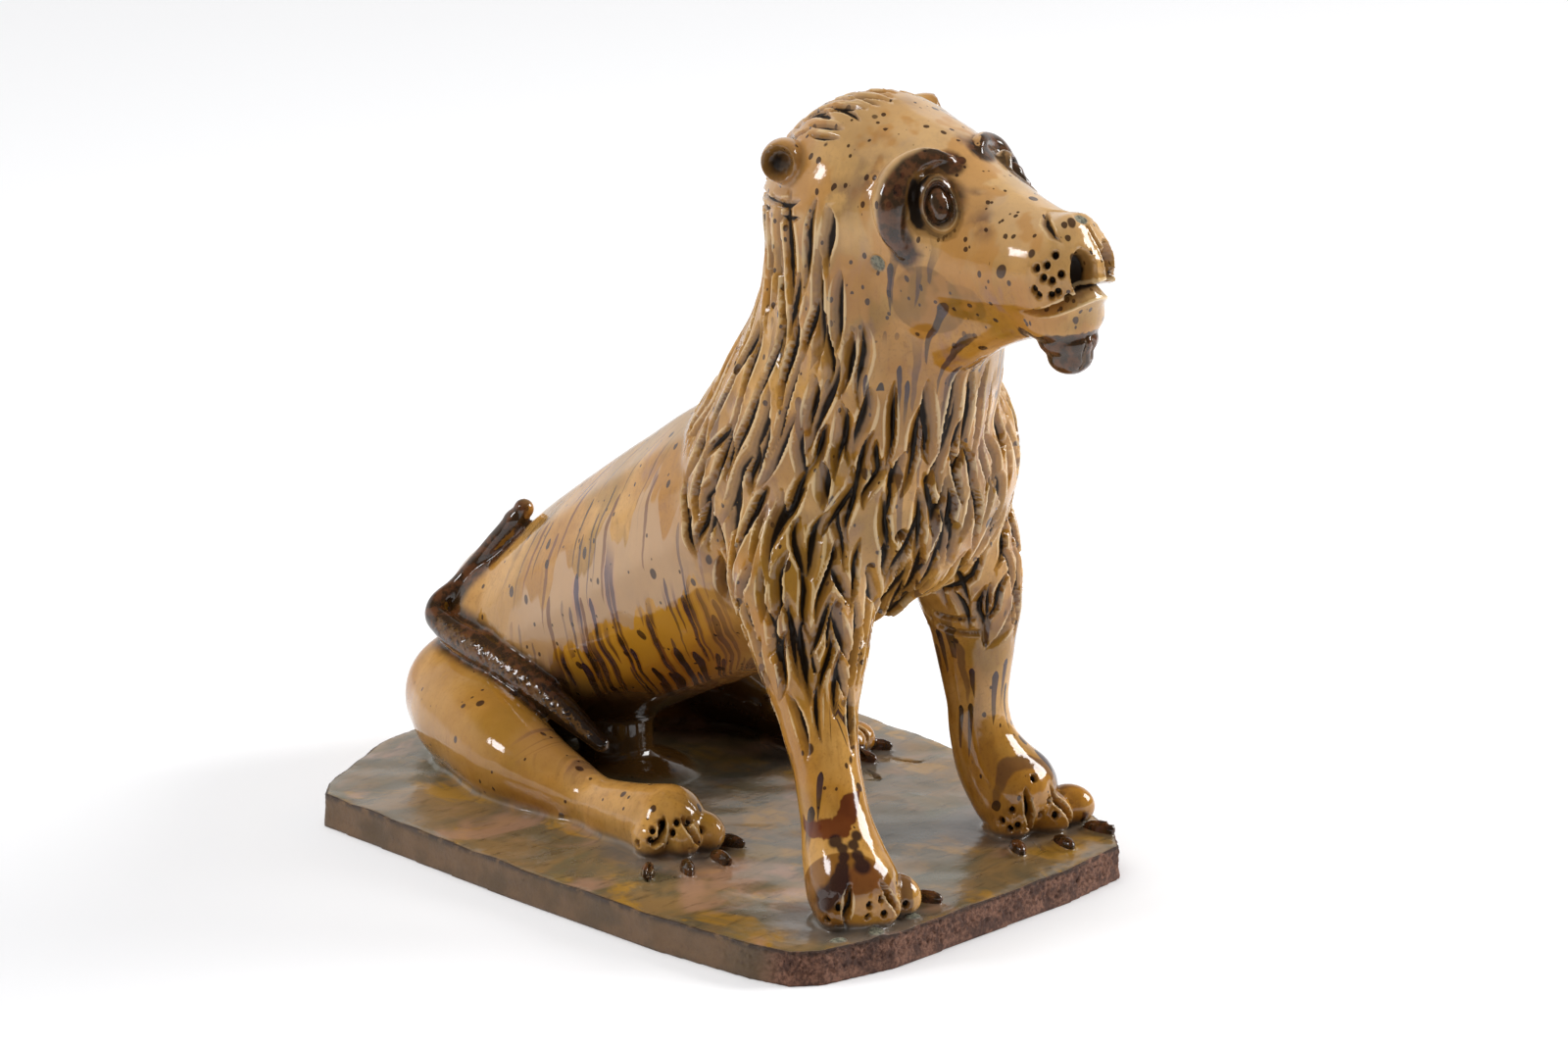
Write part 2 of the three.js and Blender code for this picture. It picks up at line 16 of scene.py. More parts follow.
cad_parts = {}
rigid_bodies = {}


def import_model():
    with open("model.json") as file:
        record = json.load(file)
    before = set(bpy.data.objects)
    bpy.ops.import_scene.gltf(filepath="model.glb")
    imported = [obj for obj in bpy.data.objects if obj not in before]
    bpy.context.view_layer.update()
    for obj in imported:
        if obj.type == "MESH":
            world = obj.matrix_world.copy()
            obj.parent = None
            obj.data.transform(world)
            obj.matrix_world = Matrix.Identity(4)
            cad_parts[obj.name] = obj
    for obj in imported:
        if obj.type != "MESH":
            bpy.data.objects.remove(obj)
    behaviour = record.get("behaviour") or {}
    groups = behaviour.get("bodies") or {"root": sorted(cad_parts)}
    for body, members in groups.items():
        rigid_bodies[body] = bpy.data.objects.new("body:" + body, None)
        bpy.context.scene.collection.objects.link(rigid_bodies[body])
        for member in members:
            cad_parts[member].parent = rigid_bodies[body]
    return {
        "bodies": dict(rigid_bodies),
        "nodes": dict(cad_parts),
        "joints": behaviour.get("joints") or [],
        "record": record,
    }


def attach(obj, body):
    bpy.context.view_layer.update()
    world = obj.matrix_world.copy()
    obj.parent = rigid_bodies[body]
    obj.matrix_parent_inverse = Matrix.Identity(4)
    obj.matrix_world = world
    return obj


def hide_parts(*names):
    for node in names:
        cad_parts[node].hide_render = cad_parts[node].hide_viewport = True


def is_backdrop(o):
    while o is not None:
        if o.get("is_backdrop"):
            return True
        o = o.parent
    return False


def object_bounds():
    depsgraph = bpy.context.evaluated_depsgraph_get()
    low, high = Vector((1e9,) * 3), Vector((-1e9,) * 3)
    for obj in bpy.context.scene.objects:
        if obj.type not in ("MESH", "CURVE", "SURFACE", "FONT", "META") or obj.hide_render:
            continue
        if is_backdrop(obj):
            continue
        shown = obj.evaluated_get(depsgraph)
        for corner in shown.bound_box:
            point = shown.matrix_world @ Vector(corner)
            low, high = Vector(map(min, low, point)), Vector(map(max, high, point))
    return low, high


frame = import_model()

cad_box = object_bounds()
print("solid:", [round(v, 3) for corner in cad_box for v in corner])

# %% [markdown]
# ## Measures
# Sizes are in millimetres while the clay is worked, and the finished mesh is scaled to metres once. The
# lion looks along -Y and its right side is towards -X. Each roll is a list of stations, and each station
# is x, y, z and the roll's radius there, the same values as the solid's.

# %% Measures of the slab and the rolls
MM = 0.001
SLAB_TOP = 12
SLAB_OUTLINE = [
    (-28, 139), (-46, 136), (-90, 114), (-100, 104), (-104, 0), (-104, -70), (-100, -112), (-96, -127),
    (-87, -134), (-58, -140), (30, -138), (60, -134), (71, -122), (92, -78), (99, -15), (104, 34),
    (104, 112), (92, 132), (60, 139),
]
ROLLS = {
    "trunk": [(6, 101, 46, 36), (6, 86, 55, 41), (4, 48, 79, 44), (0, 4, 104, 47), (-5, -40, 128, 47.5),
              (-8, -64, 132, 40)],
    "neck": [(-5, -52, 142, 49), (-8, -71, 170, 47), (-8, -82, 200, 43), (-10.5, -85, 226, 39.5),
             (-12, -84, 242, 38)],
    "right_foreleg": [(-16, -62, 154, 20), (-28, -69, 136, 26), (-37, -76, 117, 27), (-44, -86, 93, 19.5),
                      (-49, -94, 75, 13.5), (-52, -101, 59, 11.6), (-55, -108, 44, 12),
                      (-57, -114, 32, 14.5), (-59, -120, 24, 16)],
    "left_foreleg": [(12, -64, 154, 20), (24, -73, 136, 25), (32, -80, 117, 23), (37, -83, 98, 18.5),
                     (39, -83, 82, 15), (40, -84, 58, 10.9), (40.5, -86, 46, 11.6), (43, -89.5, 36, 14),
                     (47, -95, 27, 16)],
    "right_hindleg": [(-27, 107, 33, 24), (-36, 98, 31, 21), (-44, 80, 30, 19.8), (-51, 58, 27, 17.5),
                      (-52, 32, 22.6, 12.5), (-51, 14, 19.4, 9.5), (-53, -6, 20.5, 11),
                      (-52, -24, 21.5, 13.5)],
    "left_hindleg": [(38, 107, 33, 24), (47, 98, 31, 21), (57, 80, 30, 19.8), (64, 60, 27, 17.5),
                     (64, 44, 22.6, 12.5), (63, 38, 19.4, 9), (62, 26, 20, 10), (62, 14, 20, 11.5)],
}
SKULL = [(0, -1, 1.5, 37), (0, -20, 0, 33.5), (0, -44, -6, 27), (0, -66, -8.5, 21.8), (0, -81, -8.5, 18.8)]
JAW = [(-1, -16, -42, 21), (-2, -38, -31, 17.5), (-2, -56, -25, 13.5), (-2, -72, -20.5, 12)]
TAIL = [(-36, 27, 34, 3), (-36, 46, 42, 5.2), (-36.5, 68, 50, 6.5), (-37, 90, 56, 6.4), (-36, 109, 60, 5.2),
        (-33, 118, 64, 4), (-25, 115, 72, 3.4), (-19, 109, 82, 3.3), (-14, 101, 93, 3.6),
        (-11.5, 97, 98, 4.4)]
print(len(ROLLS), "rolls and", len(TAIL), "stations of tail")

# %% [markdown]
# ## The head's own frame
# The head is easier to shape upright and square. This matrix sets it on the neck afterwards, with the
# slight tilt and turn that the hand-built one has.

# %% Where the head sits
HEAD = (Matrix.Translation((-12, -85, 243)) @ Matrix.Rotation(math.radians(-1.5), 4, "Z")
        @ Matrix.Rotation(math.radians(-5.5), 4, "Y"))
UPRIGHT = Matrix.Identity(4)


def on_head(x, y, z):
    return HEAD @ Vector((x, y, z))


print("nose tip at", [round(v) for v in on_head(0, -97, -4)])

# %% [markdown]
# ## Rolling and pressing clay
# A roll is a Bezier curve with a round bevel, whose radius changes from point to point, made into a mesh.
# A ball closes each end. Metaballs would blend by themselves, but their sizes are hard to hold, so the
# shapes overlap here and are melted into one skin later.

# %% Rolls, balls and modifiers
def deselect():
    bpy.ops.object.select_all(action="DESELECT")


def apply(piece, kind, **settings):
    """Adds a modifier to the piece, sets it and applies it."""
    bpy.context.view_layer.objects.active = piece
    modifier = piece.modifiers.new(kind.lower(), kind)
    for key, value in settings.items():
        setattr(modifier, key, value)
    bpy.ops.object.modifier_apply(modifier=modifier.name)


def ball(at, radii, heading=0, pitch=0, frame_of=UPRIGHT):
    """A pressed ball of clay, turned about Z and tipped about its own X."""
    deselect()
    bpy.ops.mesh.primitive_uv_sphere_add(segments=32, ring_count=20, radius=1)
    piece = bpy.context.object
    turn = Matrix.Rotation(math.radians(heading), 4, "Z") @ Matrix.Rotation(math.radians(pitch), 4, "X")
    piece.data.transform(frame_of @ Matrix.Translation(at) @ turn @ Matrix.Diagonal((*radii, 1)))
    return piece


def roll(stations, frame_of=UPRIGHT):
    """A rolled coil through its stations, with a ball on each end."""
    deselect()
    bpy.ops.curve.primitive_bezier_curve_add()
    coil = bpy.context.object
    spline = coil.data.splines[0]
    spline.bezier_points.add(len(stations) - 2)
    for point, (x, y, z, radius) in zip(spline.bezier_points, stations):
        point.co = (x, y, z)
        point.handle_left_type = point.handle_right_type = "AUTO"
        point.radius = radius
    coil.data.bevel_depth = 1
    coil.data.bevel_resolution = 6
    coil.data.use_fill_caps = True
    bpy.ops.object.convert(target="MESH")
    coil.data.transform(frame_of)
    ends = [ball(s[:3], (s[3],) * 3, frame_of=frame_of) for s in (stations[0], stations[-1])]
    return [coil, *ends]


def join(pieces, name):
    deselect()
    for piece in pieces:
        piece.select_set(True)
    bpy.context.view_layer.objects.active = pieces[0]
    bpy.ops.object.join()
    pieces[0].name = pieces[0].data.name = name
    return pieces[0]


# %% [markdown]
# ## The slab
# The slab is a rolled sheet whose corners were knocked off. A circle with one vertex for each corner is
# pulled to the outline and extruded up, so its sides stay straight and its top stays flat.

# %% The slab
def slab_plate(bottom, top):
    deselect()
    bpy.ops.mesh.primitive_circle_add(vertices=len(SLAB_OUTLINE), fill_type="NGON")
    plate = bpy.context.object
    for vertex, (x, y) in zip(plate.data.vertices, SLAB_OUTLINE):
        vertex.co = (x, y, bottom)
    bpy.ops.object.mode_set(mode="EDIT")
    bpy.ops.mesh.select_all(action="SELECT")
    bpy.ops.mesh.extrude_region_move(TRANSFORM_OT_translate={"value": (0, 0, top - bottom)})
    bpy.ops.mesh.select_all(action="SELECT")
    bpy.ops.mesh.normals_make_consistent(inside=False)
    bpy.ops.object.mode_set(mode="OBJECT")
    return plate


print("slab", SLAB_TOP, "mm thick with", len(SLAB_OUTLINE), "corners")

# %% [markdown]
# ## The body
# Rolls for the trunk, neck, legs and head, and balls for the breast, jowls and chin, are melted together:
# a voxel remesh keeps the outer skin alone, and smoothing rounds every seam the way a thumb does.
# Subdivision modelling would keep seams between the parts, and booleans would leave them sharp.

# %% Melt the body together
MELT = 1.7
BODY_LUMPS = {
    "breast": ((-1, -84, 151), (50, 33, 47)),
    "rump": ((2, 102, 55), (35, 35, 35)),
    "mound": ((-2, 56, 24), (13, 15, 17)),
    "foot_of_mound": ((0, 50, 10), (24, 28, 8)),
}
HEAD_LUMPS = {
    "nose": ((0, -88, -8), (15.5, 8.5, 20)),
    "chin": ((0.5, -82.5, -24.5), (15, 13, 8.5)),
    "right_jowl": ((-10, -28, -18), (18, 25, 22)),
    "left_jowl": ((10, -28, -18), (18, 25, 22)),
}
parts = [slab_plate(0.5, SLAB_TOP - 0.3)]
for stations in ROLLS.values():
    parts += roll(stations)
parts += roll(SKULL, HEAD)
parts += roll(JAW, HEAD)
parts += [ball(at, radii) for at, radii in BODY_LUMPS.values()]
parts += [ball(at, radii, frame_of=HEAD) for at, radii in HEAD_LUMPS.values()]
lion = join(parts, "glazed_lion")
apply(lion, "REMESH", mode="VOXEL", voxel_size=MELT, use_smooth_shade=True)
apply(lion, "SMOOTH", factor=0.5, iterations=14)
print("melted body:", len(lion.data.vertices), "vertices")

# %% [markdown]
# ## What is pressed on
# Brows, eyes, ears, the beard, the tail, toes and claws are their own bits of clay. They go on after the
# body is smoothed, or they would melt away, and a finer remesh joins them with a tight seam.

# %% Measures of the small parts
FINE = 0.75
EYE = {"x": 17.5, "y": -45.6, "z": 12, "outward": 30, "upward": 10, "radii": (6.6, 3.6, 10)}
BROW = [(-12, -15, 2.2), (-14.5, -8, 5), (-14.5, 0, 6.8), (-11.8, 7, 6.6), (-7, 11, 5.2), (-1, 12.5, 3.8),
        (5, 11.5, 1.8)]
FAR_BROW = 0.62
EAR = {"x": 30, "y": 11, "z": 21, "outward": 62, "upward": 8, "radii": (7.4, 10.5, 7.6)}
BEARD = [((0, -84.5, -31.5), (10, 10, 6)), ((-0.5, -85.5, -36.5), (7.5, 7.8, 6.5))]
TAIL_TIP = [((-12, 98, 97), (4.4, 4.2, 4.6)), ((-10, 95, 102), (3.8, 3.8, 3.8))]
CLAW = {"z": 13.6, "radii": (2.4, 7.0, 3.0), "pitch": -7}
CLAWS = [(-77, -40, -45), (-65, -47, -34), (-50, -48, -16), (-36, -38, 7), (-29, -125, 12), (30, -113, -32),
         (45, -121, -20), (65.5, -119, 6), (50, -2, -16), (63, -6, 4), (76, 0, 24)]
PAWS = [(-58, -119), (50, -92), (-51, -25), (63, 9)]
TOE = {"wide": 0.45, "long": 0.6, "tall": 0.5, "rise": 0.42}
TOES = [(-67, -120.5, -46, 17), (-55.5, -127, -10, 17), (-45, -126, 14, 16), (41, -98.5, -4, 16.5),
        (53.5, -104.5, 16, 16.5), (65.5, -104.5, 34, 15.5), (-60.5, -24.5, -40, 16), (-53.5, -31, -18, 16),
        (-44.5, -33, 8, 15), (57, 4.5, -20, 12.5), (63.5, 2, 4, 12.5), (70, 4.5, 28, 12.5)]
print(len(TOES), "toes and", len(CLAWS), "claws")


# %% Press on the small parts
def facing(spec, side):
    """The frame of something set on the head: its own -Y looks outwards and up."""
    place = HEAD @ Matrix.Translation((side * spec["x"], spec["y"], spec["z"]))
    turn = Matrix.Rotation(math.radians(side * spec["outward"]), 4, "Z")
    return place @ turn @ Matrix.Rotation(math.radians(-spec["upward"]), 4, "X")


def skin_of(piece):
    return BVHTree.FromObject(piece, bpy.context.evaluated_depsgraph_get())


def brow(skin, side):
    """A crescent of clay laid on the temple round the eye."""
    centre = Vector((side * EYE["x"], EYE["y"], EYE["z"]))
    forward = Vector((-side, -1, 0)).normalized()
    inward = Vector((-side, 1, 0)).normalized()
    stations = []
    for ahead, above, thick in BROW:
        start = HEAD @ (centre + forward * ahead - inward * 60 + Vector((0, 0, above)))
        found = skin.ray_cast(start, HEAD.to_3x3() @ inward)[0]
        stations.append((*found, thick * (FAR_BROW if side > 0 else 1)))
    return roll(stations)


skin = skin_of(lion)
extras = [slab_plate(0, SLAB_TOP)]
for side in (-1, 1):
    extras += brow(skin, side)
    extras.append(ball((0, 1, 0), EYE["radii"], frame_of=facing(EYE, side)))
    extras.append(ball((0, -2, 0), EAR["radii"], frame_of=facing(EAR, side)))
extras += [ball(at, radii, frame_of=HEAD) for at, radii in BEARD]
extras += roll(TAIL)
extras += [ball(at, radii) for at, radii in TAIL_TIP]
for x, y, heading in CLAWS:
    extras.append(ball((x, y, CLAW["z"]), CLAW["radii"], heading, CLAW["pitch"]))
for x, y, heading, size in TOES:
    radii = (size * TOE["wide"], size * TOE["long"], size * TOE["tall"])
    extras.append(ball((x, y, SLAB_TOP + size * TOE["rise"]), radii, heading))
lion = join([lion, *extras], "glazed_lion")
apply(lion, "REMESH", mode="VOXEL", voxel_size=FINE, use_smooth_shade=True)
apply(lion, "SMOOTH", factor=0.5, iterations=5)
print("with its small parts:", len(lion.data.vertices), "vertices")

# %% [markdown]
# ## Working the surface
# The mane, toes, mouth and dots are tool marks. A displacement texture can't place each mark, so the mesh
# is worked like clay: a straight line from outside finds the skin, and the vertices near a mark move in
# by the tool's profile. Marks are also noted on the vertices, because the glaze pools in them and the
# dark there is partly painted shade.

# %% Tools for leather-hard clay
class Clay:
    """The skin as arrays of places and normals, with the marks that tools leave on it."""

    def __init__(self, piece):
        self.piece = piece
        count = len(piece.data.vertices)
        self.place = np.empty(count * 3, np.float32)
        self.normal = np.empty(count * 3, np.float32)
        piece.data.vertices.foreach_get("co", self.place)
        piece.data.vertices.foreach_get("normal", self.normal)
        self.place = self.place.reshape(-1, 3)
        self.normal = self.normal.reshape(-1, 3)
        self.order = np.argsort(self.place[:, 2])
        self.heights = self.place[self.order, 2]
        self.skin = skin_of(piece)
        self.carved = np.zeros(count, np.float32)
        self.raised = np.zeros(count, np.float32)
        self.moved = np.zeros((count, 3), np.float32)
        names = ("carved", "lip", "trim", "scar", "raw")
        self.marks = {name: np.zeros(count, np.float32) for name in names}

    def find(self, start, towards):
        """Where a line from outside first meets the skin, and the skin's normal there."""
        start = Vector(start)
        place, normal, _, _ = self.skin.ray_cast(start, (Vector(towards) - start).normalized())
        return None if place is None else (np.array(place), np.array(normal))

    def around(self, centre, height, angle, reach):
        """The skin at a height and an angle about an upright axis. 0 faces front, 90 to the right side."""
        turn = math.radians(angle)
        middle = Vector((centre[0], centre[1], height))
        return self.find(middle + Vector((-math.sin(turn), -math.cos(turn), 0)) * reach, middle)

    def near(self, low, high):
        """Which vertices lie in a box."""
        first, last = np.searchsorted(self.heights, (low[2], high[2]))
        among = self.order[first:last]
        place = self.place[among]
        inside = ((place[:, 0] > low[0]) & (place[:, 0] < high[0])
                  & (place[:, 1] > low[1]) & (place[:, 1] < high[1]))
        return among[inside]

    def beside(self, path, reach):
        """For vertices near a path: how far aside, how far off and how far along it they are."""
        places = np.array([place for place, _ in path])
        normals = np.array([normal for _, normal in path])
        among = self.near(places.min(0) - reach, places.max(0) + reach)
        spot = self.place[among]
        best = np.full(len(among), np.inf)
        aside = np.zeros(len(among))
        along = np.zeros(len(among))
        faces = np.zeros(len(among))
        for i in range(len(path) - 1):
            step = places[i + 1] - places[i]
            share = np.clip((spot - places[i]) @ step / (step @ step), 0, 1)
            offset = spot - (places[i] + share[:, None] * step)
            distance = np.linalg.norm(offset, axis=1)
            sideways = np.cross(normals[i], step)
            sideways /= np.linalg.norm(sideways)
            closer = distance < best
            best[closer] = distance[closer]
            aside[closer] = (offset @ sideways)[closer]
            along[closer] = ((i + share) / (len(path) - 1))[closer]
            faces[closer] = (self.normal[among] @ normals[i])[closer]
        kept = (best < reach) & (faces > 0.2)
        return among[kept], aside[kept], best[kept], along[kept]

    def gouge(self, path, width, depth, skew=0.0, lip=0.35, dark=1.0):
        """A scooped cut that starts and ends at nothing. Skew sets its deepest line to one side."""
        if len(path) < 3 or any(step is None for step in path):
            return
        among, aside, _, along = self.beside(path, width * 1.2)
        swell = np.sin(np.pi * np.clip(along, 0, 1) ** 0.85)
        half = width / 2 * np.maximum(swell, 1e-3) ** 0.6
        across = aside / half
        bowl = np.where(across < skew, (across - skew) / (1 + skew), (across - skew) / (1 - skew))
        cut = depth * np.maximum(swell, 0) ** 0.55 * np.maximum(0, 1 - np.abs(bowl) ** 1.35)
        ridge = lip * swell * np.exp(-((np.abs(across) - 1.2) / 0.28) ** 2)
        self.carved[among] = np.maximum(self.carved[among], cut)
        self.raised[among] = np.maximum(self.raised[among], ridge)
        self.marks["carved"][among] = np.maximum(self.marks["carved"][among], dark * (cut / depth) ** 1.3)

    def paint(self, path, reach, mark="trim", amount=1.0):
        """Notes a mark along a path, fading out from it."""
        among, _, off, _ = self.beside([step for step in path if step is not None], reach)
        fade = amount * np.clip(1.4 * (1 - off / reach), 0, 1)
        self.marks[mark][among] = np.maximum(self.marks[mark][among], fade)

    def stamp(self, at, up, radii, profile, mark=None, reach=1.3):
        """Presses a round stamp: profile gives heights by the share of its radius."""
        place, normal = at
        tall = np.array(up, float) - normal * (normal @ np.array(up, float))
        tall /= np.linalg.norm(tall)
        wide = np.cross(tall, normal)
        size = max(radii) * reach
        among = self.near(place - size, place + size)
        offset = self.place[among] - place
        share = np.hypot(offset @ wide / radii[0], offset @ tall / radii[1])
        ok = (share < reach) & (self.normal[among] @ normal > 0.1)
        among, share = among[ok], share[ok]
        height = np.interp(share, [s for s, _ in profile], [h for _, h in profile])
        self.moved[among] += (height[:, None] * normal).astype(np.float32)
        if mark:
            fade = np.clip(1.5 * (1.1 - share), 0, 1)
            self.marks[mark][among] = np.maximum(self.marks[mark][among], fade)
        return among, share

    def settle(self):
        """Moves the vertices by all marks so far."""
        inwards = self.carved - self.raised * (self.carved < 0.25)
        self.place += self.moved - self.normal * inwards[:, None]
        lips = np.clip(self.raised / 0.35, 0, 1) * (self.carved < 0.25)
        self.marks["lip"] = np.maximum(self.marks["lip"], lips)
        self.moved[:] = 0
        self.carved[:] = 0
        self.raised[:] = 0
        self.piece.data.vertices.foreach_set("co", self.place.ravel())
        self.piece.data.update()
        self.piece.data.vertices.foreach_get("normal", self.normal.ravel())


def refine(piece, places, reach):
    """Splits the faces near some places once, for finer tool marks."""
    centres = np.empty(len(piece.data.polygons) * 3, np.float32)
    piece.data.polygons.foreach_get("center", centres)
    centres = centres.reshape(-1, 3)
    chosen = np.zeros(len(centres), bool)
    for place in places:
        chosen |= np.linalg.norm(centres - np.array(place), axis=1) < reach
    deselect()
    bpy.context.view_layer.objects.active = piece
    bpy.ops.object.mode_set(mode="EDIT")
    bpy.ops.mesh.select_all(action="DESELECT")
    bpy.ops.mesh.select_mode(type="FACE")
    bpy.ops.object.mode_set(mode="OBJECT")
    piece.data.polygons.foreach_set("select", chosen)
    bpy.ops.object.mode_set(mode="EDIT")
    bpy.ops.mesh.subdivide(number_cuts=1, smoothness=0)
    bpy.ops.object.mode_set(mode="OBJECT")
    return int(chosen.sum())


eye_places = [facing(EYE, side) @ Vector((0, -2, 0)) for side in (-1, 1)]
nose = on_head(0, -90, -8)
print("finer faces at the eyes and nose:", refine(lion, [*eye_places, nose], 15))
clay = Clay(lion)
draw = np.random.default_rng(11)

# %% [markdown]
# ## The mane
# The mane is a coat of scooped cuts, 15 to 45 mm long and 3 to 6 mm wide. They hang from the hairline in
# staggered rows, and neighbours lean towards and away from each other, which leaves flame-shaped locks.
# Each cut is deeper on one side, where the tool stood steeper.

# %% Gouge the mane
MANE_AXIS = [(90, -6, -62), (140, -7, -64), (170, -9, -76), (200, -10, -82), (256, -12, -84)]
HAIRLINE = [(179, 0), (185, 42), (211, 56), (233, 68), (256, 86)]
MANE_GIRTH = [(95, 56), (148, 54), (165, 48), (200, 43), (256, 38)]
UPPER_MANE = 185


def read_off(pairs, key, column=1):
    return float(np.interp(key, [p[0] for p in pairs], [p[column] for p in pairs]))


def mane_axis(height):
    return read_off(MANE_AXIS, height), read_off(MANE_AXIS, height, 2)


def inside_mane(found, margin=0.0):
    """The mane ends on the shoulders behind a line that runs down and forward."""
    if found is None:
        return False
    x, y, z = found[0]
    return y < 8 - abs(x + 5) * 0.85 - max(0, 125 - z) * 0.9 - margin and z > 80


def mane_cut(height, angle, length, lean, sway, width, depth, skew):
    """One hanging cut. It says how many steps of the cut lie on the mane."""
    steps = 8
    path = []
    girth = read_off(MANE_GIRTH, height)
    for i in range(steps + 1):
        share = i / steps
        z = height - length * share
        aside = lean * (share - 0.5) + sway * math.sin(2 * math.pi * share)
        path.append(clay.around(mane_axis(z), z, angle + math.degrees(aside / girth), 170))
        if not inside_mane(path[-1]):
            path.pop()
            break
    clay.gouge(path, width, depth, skew)
    return len(path)


cuts = 0
height = 250.0
row = 0
while height > 98:
    upper = height > UPPER_MANE
    girth = read_off(MANE_GIRTH, height - 12)
    bare = read_off(HAIRLINE, height - 14)
    spacing = 7.8 if height > 165 else 7.4
    columns = int((360 - 2 * bare) * math.pi / 180 * girth / spacing)
    for column in range(columns + 1):
        angle = bare + (360 - 2 * bare) * (column + 0.5 * (row % 2)) / columns
        lean = (1 if (column + row) % 2 else -1) * draw.uniform(*((1, 5) if upper else (2, 8)))
        steps = mane_cut(height + draw.uniform(-9, 9), angle + draw.uniform(-2.5, 2.5),
                         (38 if upper else 26) * draw.uniform(0.6, 1.25), lean, draw.uniform(-1.6, 1.6),
                         draw.uniform(3.2, 5.8), draw.uniform(2.2, 4.2), draw.choice([-0.7, 0.7]))
        cuts += steps > 3
    height -= 19 if upper else 14
    row += 1
print(cuts, "cuts in the mane")

# %% [markdown]
# The hair is combed back over the crown, and it runs on down the forelegs, where the cuts grow shorter
# and stop above the paws.

# %% Crown and forelegs
def on_frame(frame, x, y, z):
    """A place in a small part's own frame, and the way that the part faces."""
    return np.array(frame @ Vector((x, y, z))), np.array(frame.to_3x3() @ Vector((0, -1, 0)))


CROWN = np.array(on_head(0, 0, 0))
CROWN_ROWS = (-12, 4, 20, 37, 54, 70)
EARS = [on_frame(facing(EAR, side), 0, -4, 0)[0] for side in (-1, 1)]


def crown_cut(lean, start, end, sway):
    """A cut combed back over the crown, left out where it would meet an ear."""
    upwards = np.array((math.sin(math.radians(lean)), 0, math.cos(math.radians(lean))))
    aside = np.array((math.cos(math.radians(lean)), 0, -math.sin(math.radians(lean))))
    path = []
    for share in np.linspace(0, 1, 7):
        back = math.radians(start + (end - start) * share)
        outside = CROWN + 90 * (upwards * math.cos(back) + np.array((0, math.sin(back), 0)))
        path.append(clay.find(outside + aside * sway * math.sin(3 * share), CROWN))
    if min(np.linalg.norm(step[0] - ear) for step in path for ear in EARS) > 11:
        clay.gouge(path, draw.uniform(2.6, 3.8), draw.uniform(1.4, 2.3), draw.choice([-0.6, 0.6]), 0.3)


for row, start in enumerate(CROWN_ROWS):
    for lean in np.arange(-86 + 3 * (row % 2), 87, 6):
        begin = start + 8 * abs(lean) / 84 + draw.uniform(-6, 6)
        crown_cut(lean + draw.uniform(-2, 2), begin, begin + draw.uniform(20, 36), draw.uniform(-7, 7))


def leg_cuts(stations, rows, columns=9):
    """Rows of cuts round a foreleg, each row given by its top and the cuts' length."""
    by_height = sorted((z, x, y) for x, y, z, _ in stations)
    for row, (top, length) in enumerate(rows):
        for column in range(columns):
            angle = (column + 0.5 * (row % 2)) / columns * 360 + draw.uniform(-6, 6)
            lean = (1 if (column + row) % 2 else -1) * draw.uniform(4, 12)
            start = top + draw.uniform(-4, 4)
            path = []
            for share in np.linspace(0, 1, 7):
                z = start - length * share
                centre = (read_off(by_height, z), read_off(by_height, z, 2))
                path.append(clay.around(centre, z, angle + lean * math.sin(2.4 * share), 34))
            clay.gouge(path, draw.uniform(2.8, 4.4), draw.uniform(1.6, 2.8), draw.choice([-0.6, 0.6]), 0.3)


leg_cuts(ROLLS["right_foreleg"], [(118, 24), (104, 24), (88, 22)])
leg_cuts(ROLLS["left_foreleg"], [(120, 22), (108, 20)])
clay.settle()
print("deepest mark:", round(float(clay.marks["carved"].max()), 2))

# %% [markdown]
# ## The face
# Eyes are discs with a ring cut in them round a domed pupil. Nostrils and whisker dots are punched and
# the mouth is slit. A stamp's profile gives its depth by the share of its radius, so that one tool makes
# all of these, which booleans could do only with hard edges.

# %% Profiles of the stamps
EYE_RINGS = [(0, 1.9), (0.3, 1.5), (0.52, 0.1), (0.58, -1.4), (0.68, -1.4), (0.74, 0.5), (0.86, 0.5),
             (1, -0.1), (1.3, 0)]
EAR_HOLE = [(0, -7), (0.45, -6.5), (0.68, -2.5), (0.8, 0), (1, 0), (1.3, 0)]
NOSTRIL = [(0, -8.5), (0.62, -7.5), (0.9, -2.6), (1.02, 0.3), (1.3, 0)]
WHISKER_DOT = [(0, -2.6), (0.55, -2.3), (0.95, -0.4), (1.1, 0.25), (1.3, 0)]
PAW_DOT = [(0, -2.4), (0.6, -2.1), (0.92, -0.3), (1.12, 0.35), (1.3, 0)]
VENT = [(0, -7), (0.6, -6), (1, -0.4), (1.2, 0.3), (1.3, 0)]
CHIP = [(0, -0.9), (0.7, -0.8), (1, 0), (1.3, 0)]
CLAW_SCAR = [(0, 1.2), (0.6, 1.0), (0.9, 0.4), (1.1, 0), (1.3, 0)]
Z_AXIS = (0, 0, 1)
Y_AXIS = (0, 1, 0)
print("deepest stamp:", NOSTRIL[0][1], "mm")

